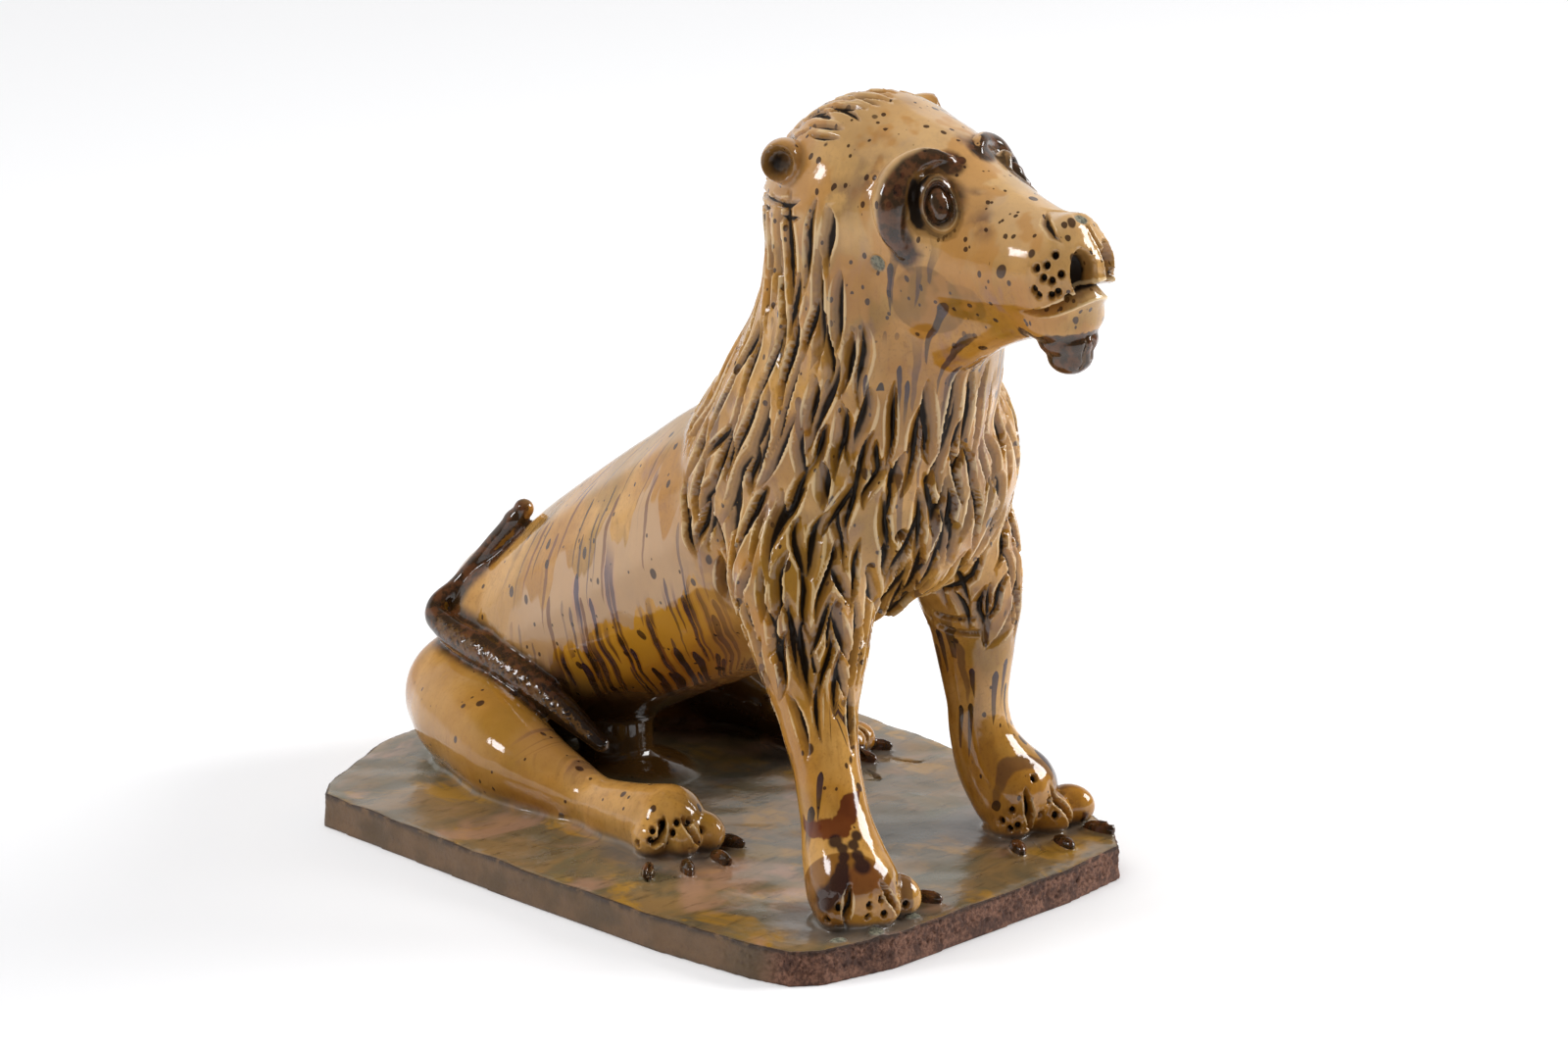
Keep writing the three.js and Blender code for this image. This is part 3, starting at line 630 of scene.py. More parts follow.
# %% Work the eyes, ears and nostrils
NOSTRIL_X = {-1: -5.2, 1: 9}
NOSTRIL_Z = -5.5
CREASE_SHADOW = (7.8, 11.4)
for side, place in zip((-1, 1), eye_places):
    eye = facing(EYE, side)
    looking = eye.to_3x3() @ Vector((0, -1, 0))
    found = clay.find(Vector(place) + looking * 30, place)
    among, share = clay.stamp((found[0], np.array(looking)), Z_AXIS, (5.9, 9.4), EYE_RINGS)
    clay.paint([found, (found[0] + 1, found[1])], 13)
    clay.marks["lip"][among[(share > 0.78) & (share < 0.9)]] = 0.62
    clay.marks["carved"][among[(share > 0.97) & (share < 1.25)]] = 0.6
    # The crease between brow and eye is painted dark: painted shadow.
    crease_shadow = [on_frame(eye, side * CREASE_SHADOW[0] * math.sin(a), 0, CREASE_SHADOW[1] * math.cos(a))
              for a in np.radians((20, 50, 80, 110, 140, 165))]
    clay.paint(crease_shadow, 3.6, "carved", 0.95)
    ear = facing(EAR, side)
    clay.stamp(on_frame(ear, 0, -12.5, 0), Z_AXIS, (7.2, 7.6), EAR_HOLE)
    # The ear's hollow is painted dark as well, as painted shade.
    clay.paint([on_frame(ear, 0, ahead, 0) for ahead in (-9, -5)], 7, "carved")
    nostril = clay.find(on_head(NOSTRIL_X[side], -130, NOSTRIL_Z), on_head(NOSTRIL_X[side], -80, NOSTRIL_Z))
    clay.stamp(nostril, Z_AXIS, (4.9, 7.8), NOSTRIL, "carved", 1.3)
print("eyes, ears and nostrils are worked")

# %% [markdown]
# The muzzle's marks are set out round its own upright axis: the mouth, the groove under the nose, a slash
# beside each nostril and a cluster of whisker dots. One chip on the nose and one on the cheek show bare
# clay.

# %% Work the muzzle
MUZZLE = (0, -78)
SLASH = [(58, 10.5), (49, 9), (39, 6.5), (29, 4)]
WHISKERS = [(40, 1), (48, -2), (36, -5), (45, -7), (53, -6), (38, -11), (47, -12), (56, -12), (63, -10),
            (30, -13), (60, -3)]


def on_muzzle(angle, height):
    """The skin about the muzzle's own upright axis."""
    turn = math.radians(angle)
    middle = on_head(*MUZZLE, height)
    outside = on_head(MUZZLE[0] - 60 * math.sin(turn), MUZZLE[1] - 60 * math.cos(turn), height)
    return clay.find(outside, middle)


mouth = [on_muzzle(angle, -19 + 6.5 * math.cos(math.radians(angle)) ** 4) for angle in range(-88, 89, 11)]
clay.gouge(mouth, 5.4, 6, -0.2, 0.5)
clay.gouge([on_muzzle(-12, height) for height in (10, 5, 0, -5, -10, -13)], 2.0, 2.2, 0, 0.3)
for side in (-1, 1):
    clay.gouge([on_muzzle(side * angle, height) for angle, height in SLASH], 3.2, 2.2, 0.2, 0.3)
    for angle, height in WHISKERS:
        found = on_muzzle(-side * angle + draw.uniform(-2, 2), height)
        clay.stamp(found, Z_AXIS, (1.4, 1.7), WHISKER_DOT, "carved")
clay.stamp(clay.find(on_head(4, -97, 40), on_head(2.5, -89, 0)), Y_AXIS, (3.6, 2.6), CHIP, "scar")
clay.stamp(clay.find((-120, -160, 232), (-20, -100, 232)), Z_AXIS, (3.6, 4), CHIP, "scar")
print(len(WHISKERS), "whisker dots a side")

# %% [markdown]
# ## The paws
# Each paw is slit between its toes and pricked with dots. Slits and dots are given by the way they face
# from the paw's middle, a heading and a rise in degrees, because a round paw has no edges to measure
# from. The scars on the slab are where claws broke off, and the small hole in the breast let steam out.

# %% Work the paws
SLITS = [((-49, -54), (-10, 22)), ((-35, -24), (-2, 24)), ((-58, -58), (-27, -2)), ((-18, -14), (22, 26))]
SLIT_RISES = (33, 25, 17, 9, 1, -7, -15, -22)
DOTS = [
    [(-61, 7), (-26, 8), (-27, -7), (-11, 13), (-7, -6), (-73, -8), (27, 11), (34, -6)],
    [(-23, 40), (-48, 11), (-5, 17), (0, 1), (37, 14), (30, 5), (29, -7), (-15, 3), (-59, -1), (-42, -5),
     (-50, -9)],
    [(-70, 12), (-70, -1), (-87, -7), (-81, -15), (-44, 8), (-36, 23), (-14, 24), (-62, 21), (7, 5),
     (-40, -15)],
    [(-76, 20), (-26, 45), (-16, 15), (19, 50), (34, 25), (59, 30)],
]
SCARS = [(-77, -131, 12), (-63, -135, 12), (-44, -133, 12)]


def on_paw(middle, heading, rise):
    """The skin of a paw, seen from its middle. Heading 0 faces front and rise 0 is level."""
    turn, lift = math.radians(heading), math.radians(rise)
    out = np.array((math.sin(turn) * math.cos(lift), -math.cos(turn) * math.cos(lift), math.sin(lift)))
    return clay.find(middle + 50 * out, middle)


for (x, y), slits, dots in zip(PAWS, SLITS, DOTS):
    middle = np.array((x, y, 20.0))
    for top, bottom in slits:
        turns = np.linspace(top, bottom, len(SLIT_RISES))
        clay.gouge([on_paw(middle, *step) for step in zip(turns, SLIT_RISES)], 3.2, 4.2, 0, 0.4)
    for heading, rise in dots:
        clay.stamp(on_paw(middle, heading, rise), Z_AXIS, (1.35, 1.7), PAW_DOT, "carved")
for scar in SCARS:
    clay.stamp((np.array(scar, float), np.array(Z_AXIS, float)), Y_AXIS, (4, 3.2), CLAW_SCAR, "scar")
clay.stamp(clay.find((-30, -200, 136), (-25, -90, 136)), Z_AXIS, (2.6, 3), VENT, "carved")
clay.settle()
print("paws, scars and vent are worked")

# %% [markdown]
# ## The tail and the trim
# The tail's strap is scratched with crossing strokes. The glaze lies thick and dark brown on the tail,
# brows, ears and beard, so the marks there are noted for the glaze. The tail's mark reaches wide, and its
# dark in the crease beside the tail is painted shade.

# %% Scratch the tail and note the dark trim
def tail_point(share, around):
    """The skin of the tail, by the share of its length and an angle about it."""
    stations = np.array(TAIL, float)
    key = share * (len(TAIL) - 1)
    i = min(int(key), len(TAIL) - 2)
    centre = stations[i, :3] + (stations[i + 1, :3] - stations[i, :3]) * (key - i)
    turn = math.radians(around)
    outside = centre + 16 * np.array((-math.cos(turn), 0, math.sin(turn)))
    return clay.find(outside, centre)


for share in np.arange(0.03, 0.45, 0.016):
    for slope in (-0.03, 0.03):
        middle = share + draw.uniform(-0.008, 0.008)
        path = [tail_point(middle + slope * t, 25 + 45 * t) for t in (-1, -0.5, 0, 0.5, 1)]
        clay.gouge(path, draw.uniform(1.0, 1.5), draw.uniform(0.2, 0.4), 0, 0.0, 0.6)
for side in (-1, 1):
    beard = [clay.find(on_head(side * x, -130, z), on_head(side * x, -70, z)) for x, z in
             ((1, -28), (2, -33), (2, -38), (1, -43))]
    clay.gouge(beard, 1.8, 0.9, 0.3, 0.2)
    brow_path = []
    for ahead, above, _ in BROW:
        x, y, z = EYE["x"] - 0.7 * ahead, EYE["y"] - 0.7 * ahead, EYE["z"] + above
        brow_path.append(clay.find(on_head(side * (x + 60), y - 55, z), on_head(side * x, y, z)))
    clay.paint(brow_path, 8)
    clay.paint([on_frame(facing(EAR, side), 0, ahead, 0) for ahead in (-12, -4)], 13, amount=0.5)
clay.settle()
# Along the tail the mark reaches wide, so its dark also lies in the crease on each side: painted shade.
tail_line = [(np.array(s[:3], float), np.array((-0.7, 0, 0.7))) for s in TAIL]
clay.paint(tail_line, 13)
among = clay.near(np.array(on_head(-14, -97, -46)), np.array(on_head(14, -73, -29)))
clay.marks["trim"][among] = 1
for x, y, heading in CLAWS:
    among = clay.near(np.array((x - 8, y - 8, 12.8)), np.array((x + 8, y + 8, 18)))
    offset = clay.place[among] - np.array((x, y, 13.4))
    turn = math.radians(heading)
    ahead = offset[:, 0] * math.sin(turn) - offset[:, 1] * math.cos(turn)
    aside = offset[:, 0] * math.cos(turn) + offset[:, 1] * math.sin(turn)
    on_claw = among[np.hypot(aside / 3.2, ahead / 7.6) < 1]
    clay.marks["trim"][on_claw] = 1
print("trim noted on", int((clay.marks["trim"] > 0.5).sum()), "vertices")

# %% [markdown]
# ## The slab's edges
# The slab was cut and then knocked about: its rim is bare clay, crumbly in front, with a rough arris.
# Small steps of seeded noise move the rim in and out.

# %% Roughen the rim
def wobble(places, size, seed):
    """Smooth noise from -1 to 1 at many places, from a sum of seeded waves."""
    rng = np.random.default_rng(seed)
    total = np.zeros(len(places))
    for _ in range(28):
        wave = rng.normal(size=3) / size
        total += np.sin(places @ wave * 2 * math.pi + rng.uniform(0, 6.3))
    return total / 5.3


corners = np.array(SLAB_OUTLINE, float)
ends = np.roll(corners, -1, axis=0)
low = np.flatnonzero(clay.place[:, 2] < SLAB_TOP + 0.6)
spot = clay.place[low]
rim = np.full(len(low), 1e9)
for a, b in zip(corners, ends):
    step = b - a
    share = np.clip((spot[:, :2] - a) @ step / (step @ step), 0, 1)
    rim = np.minimum(rim, np.linalg.norm(spot[:, :2] - a - share[:, None] * step, axis=1))
front = np.clip((-spot[:, 1] - 95) / 30, 0, 1)
edge = np.clip(1 - rim / 1.6, 0, 1)
upper = np.clip((spot[:, 2] - 1) / 3, 0, 1)
crumble = (0.5 * wobble(spot, 3.6, 3) + 0.4 * wobble(spot, 2, 4)) * (0.2 + 0.8 * front) * upper
wave = 0.5 * wobble(spot, 26, 5)
clay.place[low] -= clay.normal[low] * ((np.abs(crumble) + 0.5 + wave * 0.6) * edge * upper)[:, None]
clay.marks["raw"][low] = np.clip(1.5 * (1 - rim / 2.2), 0, 1)
under = clay.place[:, 2] < 0.5
clay.marks["raw"][under] = 1
clay.place[:, 2] = np.maximum(clay.place[:, 2], 0)
top = np.flatnonzero((clay.place[:, 2] > SLAB_TOP - 0.6) & (clay.place[:, 2] < SLAB_TOP + 2.5))
level = clay.place[top] * (1, 1, 0)
clay.place[top, 2] += 0.25 * wobble(level, 40, 6) + 0.05 * wobble(level, 14, 7)
clay.settle()
print("rim worked on", int((edge > 0.2).sum()), "vertices")

# %% [markdown]
# ## One mesh
# The marks go into attributes, the mesh is thinned where it is flat, and the whole is scaled to metres.

# %% Thin, smooth and scale
clay.marks["upward"] = np.clip(clay.normal[:, 2], 0, 1)
for name, values in clay.marks.items():
    lion.data.attributes.new(name, "FLOAT", "POINT").data.foreach_set("value", values)
apply(lion, "TRIANGULATE")
before = len(lion.data.polygons)
LIMIT = 190000
if before > LIMIT:
    apply(lion, "DECIMATE", ratio=LIMIT / before)
lion.data.transform(Matrix.Diagonal((MM, MM, MM, 1)))
deselect()
lion.select_set(True)
bpy.context.view_layer.objects.active = lion
bpy.ops.object.shade_smooth()
print(before, "triangles thinned to", len(lion.data.polygons))

# %% [markdown]
# ## A way to write shader maths
# A glaze is many layers of masks and colours. A small class wraps a node's output, so that masks are
# written as sums and products, and every other node comes from one method.

# %% Wires and graphs
class Wire:
    """An output of a node. Sums, products, quotients and powers of wires add Math nodes."""

    def __init__(self, graph, output):
        self.graph = graph
        self.output = output

    def __add__(self, other):
        return self.graph.maths("ADD", self, other)

    def __radd__(self, other):
        return self.graph.maths("ADD", other, self)

    def __sub__(self, other):
        return self.graph.maths("SUBTRACT", self, other)

    def __rsub__(self, other):
        return self.graph.maths("SUBTRACT", other, self)

    def __mul__(self, other):
        return self.graph.maths("MULTIPLY", self, other)

    def __rmul__(self, other):
        return self.graph.maths("MULTIPLY", other, self)

    def __truediv__(self, other):
        return self.graph.maths("DIVIDE", self, other)

    def __pow__(self, other):
        return self.graph.maths("POWER", self, other)

    def __neg__(self):
        return self.graph.maths("MULTIPLY", self, -1)

    def __abs__(self):
        return self.graph.maths("ABSOLUTE", self)

    def clip(self):
        """Held between 0 and 1."""
        return self.graph.maths("ADD", self, 0, clamp=True)

    def above(self, low, high):
        """0 below low, 1 above high and smooth between. With high below low it runs the other way."""
        settings = {"interpolation_type": "SMOOTHSTEP"}
        limits = {"Value": self, "From Min": low, "From Max": high}
        return self.graph.node("ShaderNodeMapRange", settings, limits)


class Graph:
    """The nodes of a material or of the world."""

    def __init__(self, owner):
        self.owner = owner
        owner.use_nodes = True
        self.tree = owner.node_tree
        self.tree.nodes.clear()

    def surface(self, shader, kind="ShaderNodeOutputMaterial"):
        self.tree.links.new(shader.output, self.tree.nodes.new(kind).inputs["Surface"])

    def node(self, kind, settings=None, values=None, output=None):
        made = self.tree.nodes.new(kind)
        for key, value in (settings or {}).items():
            setattr(made, key, value)
        for key, value in (values or {}).items():
            socket = made.inputs[key]
            if isinstance(value, Wire):
                self.tree.links.new(value.output, socket)
            else:
                socket.default_value = value
        outputs = [o for o in made.outputs if o.enabled]
        return Wire(self, made.outputs[output] if output else outputs[0])

    def maths(self, operation, *values, clamp=False):
        settings = {"operation": operation, "use_clamp": clamp}
        return self.node("ShaderNodeMath", settings, dict(enumerate(values)))

    def vectors(self, operation, first, second=(0, 0, 0), output=None):
        return self.node("ShaderNodeVectorMath", {"operation": operation}, {0: first, 1: second}, output)

    def parts(self, vector):
        """The X, Y and Z of a vector as three wires."""
        made = self.node("ShaderNodeSeparateXYZ", {}, {"Vector": vector}).output.node
        return [Wire(self, output) for output in made.outputs]

    def flat(self, x, y):
        return self.node("ShaderNodeCombineXYZ", {}, {"X": x, "Y": y, "Z": 0.0})

    def blend(self, factor, first, second):
        """Colour first where the factor is 0 and second where it is 1."""
        mixed = self.tree.nodes.new("ShaderNodeMix")
        mixed.data_type = "RGBA"
        sockets = {s.identifier: s for s in mixed.inputs}
        for key, value in (("Factor_Float", factor), ("A_Color", first), ("B_Color", second)):
            if isinstance(value, Wire):
                self.tree.links.new(value.output, sockets[key])
            else:
                sockets[key].default_value = value
        return Wire(self, next(o for o in mixed.outputs if o.identifier == "Result_Color"))

    def place(self):
        return self.node("ShaderNodeTexCoord", output="Object")

    def mark(self, name):
        return self.node("ShaderNodeAttribute", {"attribute_name": name}, output="Fac")

    def stretched(self, place, scale, offset=(0, 0, 0)):
        return self.node("ShaderNodeMapping", {}, {"Vector": place, "Scale": scale, "Location": offset})

    def noise(self, place, scale, detail=3.0, roughness=0.55, distortion=0.0):
        values = {"Vector": place, "Scale": scale, "Detail": detail, "Roughness": roughness,
                  "Distortion": distortion}
        return self.node("ShaderNodeTexNoise", {}, values, "Fac")

    def near(self, place, centre, inner, outer):
        """1 within the inner distance of a centre in mm, and 0 beyond the outer."""
        far = self.vectors("DISTANCE", place, tuple(v * MM for v in centre), "Value")
        return far.above(outer * MM, inner * MM)

    def near_any(self, place, spots, inner, outer):
        """The same for several spots, whose fourth value, where there is one, scales both distances."""
        masks = []
        for x, y, z, *size in spots:
            scale = size[0] if size else 1
            masks.append(self.near(place, (x, y, z), inner * scale, outer * scale))
        return sum(masks, 0.0).clip()


def shade(red, green, blue):
    """A colour as seen on a screen, 0 to 255, as the linear values that a shader takes."""
    linear = [v / 255 / 12.92 if v / 255 <= 0.04045 else ((v / 255 + 0.055) / 1.055) ** 2.4
              for v in (red, green, blue)]
    return (*linear, 1)


print("pale honey is", [round(v, 3) for v in shade(205, 165, 110)])

# %% [markdown]
# ## Runs and specks
# Manganese in the glaze leaves dark specks, and where the glaze was thick each speck ran down as a purple
# brown streak. A Voronoi texture squeezed along one axis gives one starting point to each tall cell, and
# the streak is drawn downwards from it and fades. Stretched noise alone would have no sharp head.

# %% Runs and specks
def scattered(graph, vector, settings=None):
    """For each cell of a Voronoi texture: the way from its point to here, and its luck from 0 to 1."""
    values = {"Vector": vector, "Scale": 1.0, "Randomness": 0.9}
    point = graph.node("ShaderNodeTexVoronoi", settings, values, "Position")
    luck = graph.node("ShaderNodeTexWhiteNoise", {"noise_dimensions": "3D"}, {"Vector": point}, "Value")
    return graph.vectors("SUBTRACT", vector, point), luck


def runs(graph, flow, spacing, length, width, seed, share=0.5):
    """Streaks with a round top. The flow's X goes across them and its Y up. Measures are in mm."""
    scale = (1 / spacing / MM, 1 / length / MM, 1)
    squeezed = graph.stretched(flow, scale, (seed, seed * 1.7, 0))
    way, luck = scattered(graph, squeezed, {"voronoi_dimensions": "2D"})
    across, up, _ = graph.parts(way)
    down = -up / (luck * 0.45 + 0.3)
    round_top = (down * 12 + 0.4).clip() ** 0.5
    taper = (1 - down).clip() ** 0.6
    half = round_top * taper * (width / spacing / 2) * (luck * 0.8 + 0.5)
    body = (abs(across) - half).above(0.03, -0.03) * half.above(0.0, 0.06)
    return body * (1 - down * 0.35) * luck.above(share - 0.02, share + 0.02)


def specks(graph, place, spacing, size, seed, share=0.4):
    """Round dark dots of mixed size, a little drawn out downwards. Sizes are in mm."""
    scale = (1 / spacing / MM, 1 / spacing / MM, 0.7 / spacing / MM)
    way, luck = scattered(graph, graph.stretched(place, scale, (seed, seed, seed)))
    far = graph.vectors("LENGTH", way, output="Value")
    return (far - size / 2 / spacing * luck).above(0.02, -0.02) * luck.above(share, share + 0.05)


print("helpers for runs and specks are set")

# %% [markdown]
# On the back a run first slides along the slope and then turns down the flank. For a round trunk that
# leans, the lines of steepest descent have a formula, so one value is worked out that stays the same
# along each of them. Runs drawn in that value and in height follow the slope by themselves.

# %% The way that glaze runs down the trunk
def down_the_trunk(graph, place):
    """Coordinates that follow the way down, and how high round the trunk it is, from -1 to 1."""
    (_, y0, z0, _), (_, y1, z1, _) = ROLLS["trunk"][0], ROLLS["trunk"][4]
    length = math.hypot(y0 - y1, z1 - z0)
    level, rise = (y0 - y1) / length, (z1 - z0) / length
    girth = 45 * MM
    x, y, z = graph.parts(place)
    y, z = y - y0 * MM, z - z0 * MM
    tall = graph.maths("MINIMUM", (y * rise + z * level) * (1 / girth), 0.96)
    tall = graph.maths("MAXIMUM", tall, -0.96)
    bend = graph.maths("LOGARITHM", (1 - tall) / (1 + tall), math.e)
    steady = y * level - z * rise - bend * (girth * rise / level / 2)
    return graph.flat(steady + graph.maths("SIGN", x) * 0.5, z), tall


def round_a_post(graph, place, x, y, girth):
    """Flat coordinates on a standing roll: the way round it in X and the height in Y."""
    east, north, height = graph.parts(place)
    turn = graph.maths("ARCTAN2", east - x * MM, -(north - y * MM))
    return graph.flat(turn * (girth * MM), height)


print("the trunk rises from", ROLLS["trunk"][0][2], "to", ROLLS["trunk"][4][2], "mm")

# %% [markdown]
# ## The glaze
# Honey glaze over buff clay: amber where it is thick, paler where it is thin, olive in patches, almost
# black where it pools in the cuts, which is partly painted shade, and pale where it draws off their lips.
# One material holds every finish, because it is one fired piece, and the marks on the mesh say where each
# belongs.

# %% Tones of the glaze and the clay
# Some tones hold painted shade: the pool under the belly, the slab beneath it, the black in the deep cuts
# and the black at the tail's low end. The pale band's tone is partly a painted reflection.
TONES = {
    "honey": shade(196, 146, 74), "amber": shade(168, 114, 36), "olive": shade(136, 100, 26),
    "brushed": shade(124, 80, 36), "grain": shade(104, 66, 22), "bluish": shade(120, 92, 96),
    "thin": shade(214, 184, 148), "mane_ochre": shade(150, 108, 44), "mane_violet": shade(94, 62, 58),
    "pale_face": shade(214, 180, 132), "haunch": shade(156, 110, 40), "olive_cheek": shade(124, 84, 18),
    "amber_cheek": shade(176, 118, 48), "smudge": shade(84, 62, 58), "pale_band_and_reflection": shade(182, 146, 108),
    "gold": shade(188, 132, 24), "deep_gold": shade(156, 98, 6), "ink": shade(30, 16, 10),
    "violet_ink": shade(44, 30, 44), "thin_glaze_and_reflection_ink": shade(74, 58, 74), "pale_halo": shade(176, 128, 108),
    "gold_halo": shade(126, 62, 8), "back_run": shade(92, 46, 24), "mane_run": shade(70, 44, 40),
    "speck": shade(44, 22, 14), "pool_and_shade": shade(30, 18, 10), "paw_red": shade(104, 46, 8),
    "paw_dark": shade(78, 28, 6), "foot": shade(120, 74, 14), "foot_edge": shade(170, 118, 44),
    "foot_red": shade(96, 42, 18), "stroke": shade(40, 20, 18), "trim_dark": shade(30, 17, 12),
    "trim_brown": shade(84, 48, 28), "trim_black_and_crease_shade": shade(20, 12, 9), "shallow": shade(112, 76, 28),
    "deep_pool_and_shade": shade(16, 10, 6), "lip": shade(228, 198, 148), "slab_grey": shade(98, 86, 62),
    "slab_ochre": shade(130, 102, 64), "slab_amber": shade(160, 118, 40), "slab_pink": shade(164, 124, 100),
    "slab_green": shade(92, 92, 66), "slab_smear": shade(56, 44, 30), "slab_paws": shade(96, 90, 88),
    "slab_pool_and_shade": shade(28, 24, 20), "clay_dark": shade(80, 50, 36), "clay_red": shade(132, 92, 72),
    "clay_hole": shade(56, 32, 24), "side_ochre": shade(104, 76, 46), "side_dark": shade(84, 62, 34),
    "side_grit": shade(70, 46, 32), "arris": shade(46, 32, 24), "stone_dark": shade(74, 76, 62),
    "stone_pale": shade(128, 124, 104),
}
glaze = Graph(bpy.data.materials.new("honey_glaze"))
place = glaze.place()
sideways, forward, height = glaze.parts(place)
carved, lip, trim, scar, raw, upward = (
    glaze.mark(name) for name in ("carved", "lip", "trim", "scar", "raw", "upward"))


def mix(mask, first, second):
    """Tone first where the mask is 0 and second where it is 1. A tone is a name or a wire."""
    return glaze.blend(mask, *(TONES[tone] if isinstance(tone, str) else tone for tone in (first, second)))


print(len(TONES), "tones")

# %% [markdown]
# The ground is honey and amber, with olive clouds, fine vertical brush marks and grain. Looking up, the
# glaze ran off and is thin and pale. Noise at several scales gives each, and a little drift bends the
# edges.

# %% The honey ground
wander = glaze.noise(place, 30, 2)
ripples = glaze.node("ShaderNodeTexNoise", {}, {"Vector": place, "Scale": 70.0}, "Color")
drift = glaze.node("ShaderNodeVectorMath", {"operation": "SCALE"}, {0: ripples, "Scale": 0.004})
wavy = glaze.vectors("ADD", place, drift)
thick = glaze.noise(place, 22, 4)
honey = mix(thick.above(0.4, 0.62), "honey", "amber")
olive = glaze.noise(glaze.stretched(place, (1, 1, 1), (3, 1, 7)), 30, 3).above(0.5, 0.66)
honey = mix(olive * 0.65, honey, "olive")
brush = glaze.noise(glaze.stretched(wavy, (1, 1, 0.14)), 420, 3)
honey = mix(brush.above(0.45, 0.75) * 0.3, honey, "brushed")
grain = glaze.noise(place, 900, 2)
honey = mix(grain.above(0.5, 0.8) * 0.3, honey, "grain")
bluish = glaze.noise(glaze.stretched(wavy, (1, 1, 0.4), (9, 2, 4)), 60, 3).above(0.58, 0.7)
honey = mix(bluish * 0.45 * height.above(0.09, 0.14), honey, "bluish")
thin = upward.above(0.3, 0.95) * (0.35 + thick * 0.6) * height.above(0.05, 0.16)
off_face = 1 - glaze.near(place, (-12, -146, 236), 48, 62)
in_mane = forward.above(-0.005, -0.035) * height.above(0.07, 0.1) * off_face
honey = mix(thin.clip() * (1 - in_mane * 0.5) * 0.55, honey, "thin")
honey = mix(in_mane * glaze.noise(place, 36, 3).above(0.42, 0.6) * 0.4, honey, "mane_ochre")
honey = mix(in_mane * glaze.noise(wavy, 64, 3).above(0.56, 0.66) * 0.4, honey, "mane_violet")
pale_face = height.above(0.225, 0.245) * (0.3 + thick * 0.5)
honey = mix(pale_face * 0.6, honey, "pale_face")
haunch = glaze.near_any(place, [(-58, 66, 50), (62, 66, 50)], 34, 52)
honey = mix(haunch * 0.55, honey, "haunch")
print(len(glaze.tree.nodes), "nodes in the ground")

# %% [markdown]
# On the face the potter's slip shows as olive and amber patches with clear edges, and grey smudges lie
# round the eyes. They are set at their places, because noise alone would put them anywhere.

# %% Patches and smudges on the face
SMUDGES = [(-39, -108, 262, 9), (-28, -146, 251, 6), (-11, -121, 269, 8), (-42, -125, 243, 7),
           (-24, -140, 259, 5), (-46, -98, 255, 8)]
olive_cheek = glaze.near(wavy, (-34, -128, 222), 13, 14) + glaze.near(wavy, (-26, -140, 226), 8, 9)
honey = mix(olive_cheek.clip() * 0.8, honey, "olive_cheek")
amber_cheek = glaze.noise(glaze.stretched(wavy, (1, 1, 0.6), (1, 7, 3)), 48, 3).above(0.5, 0.56)
honey = mix(amber_cheek * height.above(0.2, 0.21) * 0.5, honey, "amber_cheek")
smudge = glaze.near_any(wavy, SMUDGES, 0.2, 1.3) * glaze.noise(place, 110, 4).above(0.36, 0.62)
honey = mix(smudge * 0.7, honey, "smudge")
print(len(SMUDGES), "smudges")

# %% [markdown]
# The flanks have zones: a pale band, partly thin glaze and partly a painted reflection, with fingers at
# its edge, and gold below where it gathered. Both are told by how high round the trunk a place is, with
# noise that runs the way down.

# %% Zones on the flanks
flow, tall = down_the_trunk(glaze, place)
along_trunk = glaze.vectors("ADD", flow, drift)
flank = glaze.near_any(place, [(-46, 20, 96), (48, 20, 96)], 44, 76)
flank = flank * (1 - glaze.near_any(place, [(-54, 76, 28), (60, 76, 28)], 30, 36))
scallops = glaze.noise(glaze.stretched(along_trunk, (1, 0.3, 1)), 70, 3) - 0.5
fingers = glaze.noise(glaze.stretched(along_trunk, (1, 0.22, 1), (0.4, 0, 0)), 60, 2) - 0.5
# The pale band is partly thin glaze and partly a painted reflection.
pale_band_and_reflection = (tall + fingers * 1.5).above(0.34, 0.3) * flank
honey = mix(pale_band_and_reflection * 0.8, honey, "pale_band_and_reflection")
gold = (tall + scallops * 0.8).above(-0.29, -0.32) * flank
honey = mix(gold * 0.92, honey, mix(tall.above(-0.4, -0.85), "gold", "deep_gold"))
print(len(glaze.tree.nodes), "nodes with the flanks")

# %% [markdown]
# Dark streaks crowd in the middle of each flank and along the belly, each in a halo of brown where the
# manganese bled. Finer ones lie on the back, under the eyes, on the throat, in the mane and on the
# forelegs.

# %% Where the streaks run
LONG = {"spacing": 6, "length": 95, "width": 3.8, "seed": 2.3, "share": 0.25}
LOW = {"spacing": 5, "length": 66, "width": 4.2, "seed": 4.1, "share": 0.1}
HALO = {"width": 7}
belly = flank * tall.above(-0.15, -0.45)
bunch = glaze.near_any(place, [(-47, 22, 92), (50, 30, 92)], 12, 26)
bunch = (bunch + glaze.noise(glaze.stretched(place, (1, 1, 0.3), (2, 5, 1)), 50, 2).above(0.55, 0.62)).clip()
crowd = (bunch + belly).clip() * flank
long_runs = runs(glaze, along_trunk, **LONG) * crowd
low_runs = runs(glaze, along_trunk, **LOW) * belly
fine_runs = runs(glaze, along_trunk, 4.2, 52, 1.5, 7.7, 0.66) * flank
back_runs = runs(glaze, along_trunk, 8, 60, 2.2, 6.3, 0.72) * flank
halo = runs(glaze, along_trunk, **(LONG | HALO)) * crowd + runs(glaze, along_trunk, **(LOW | HALO)) * belly
neck = glaze.vectors("ADD", round_a_post(glaze, place, -12, -84, 40), drift)
throat = (glaze.near(place, (-36, -116, 206), 20, 36) + glaze.near(place, (8, -122, 206), 18, 30)).clip()
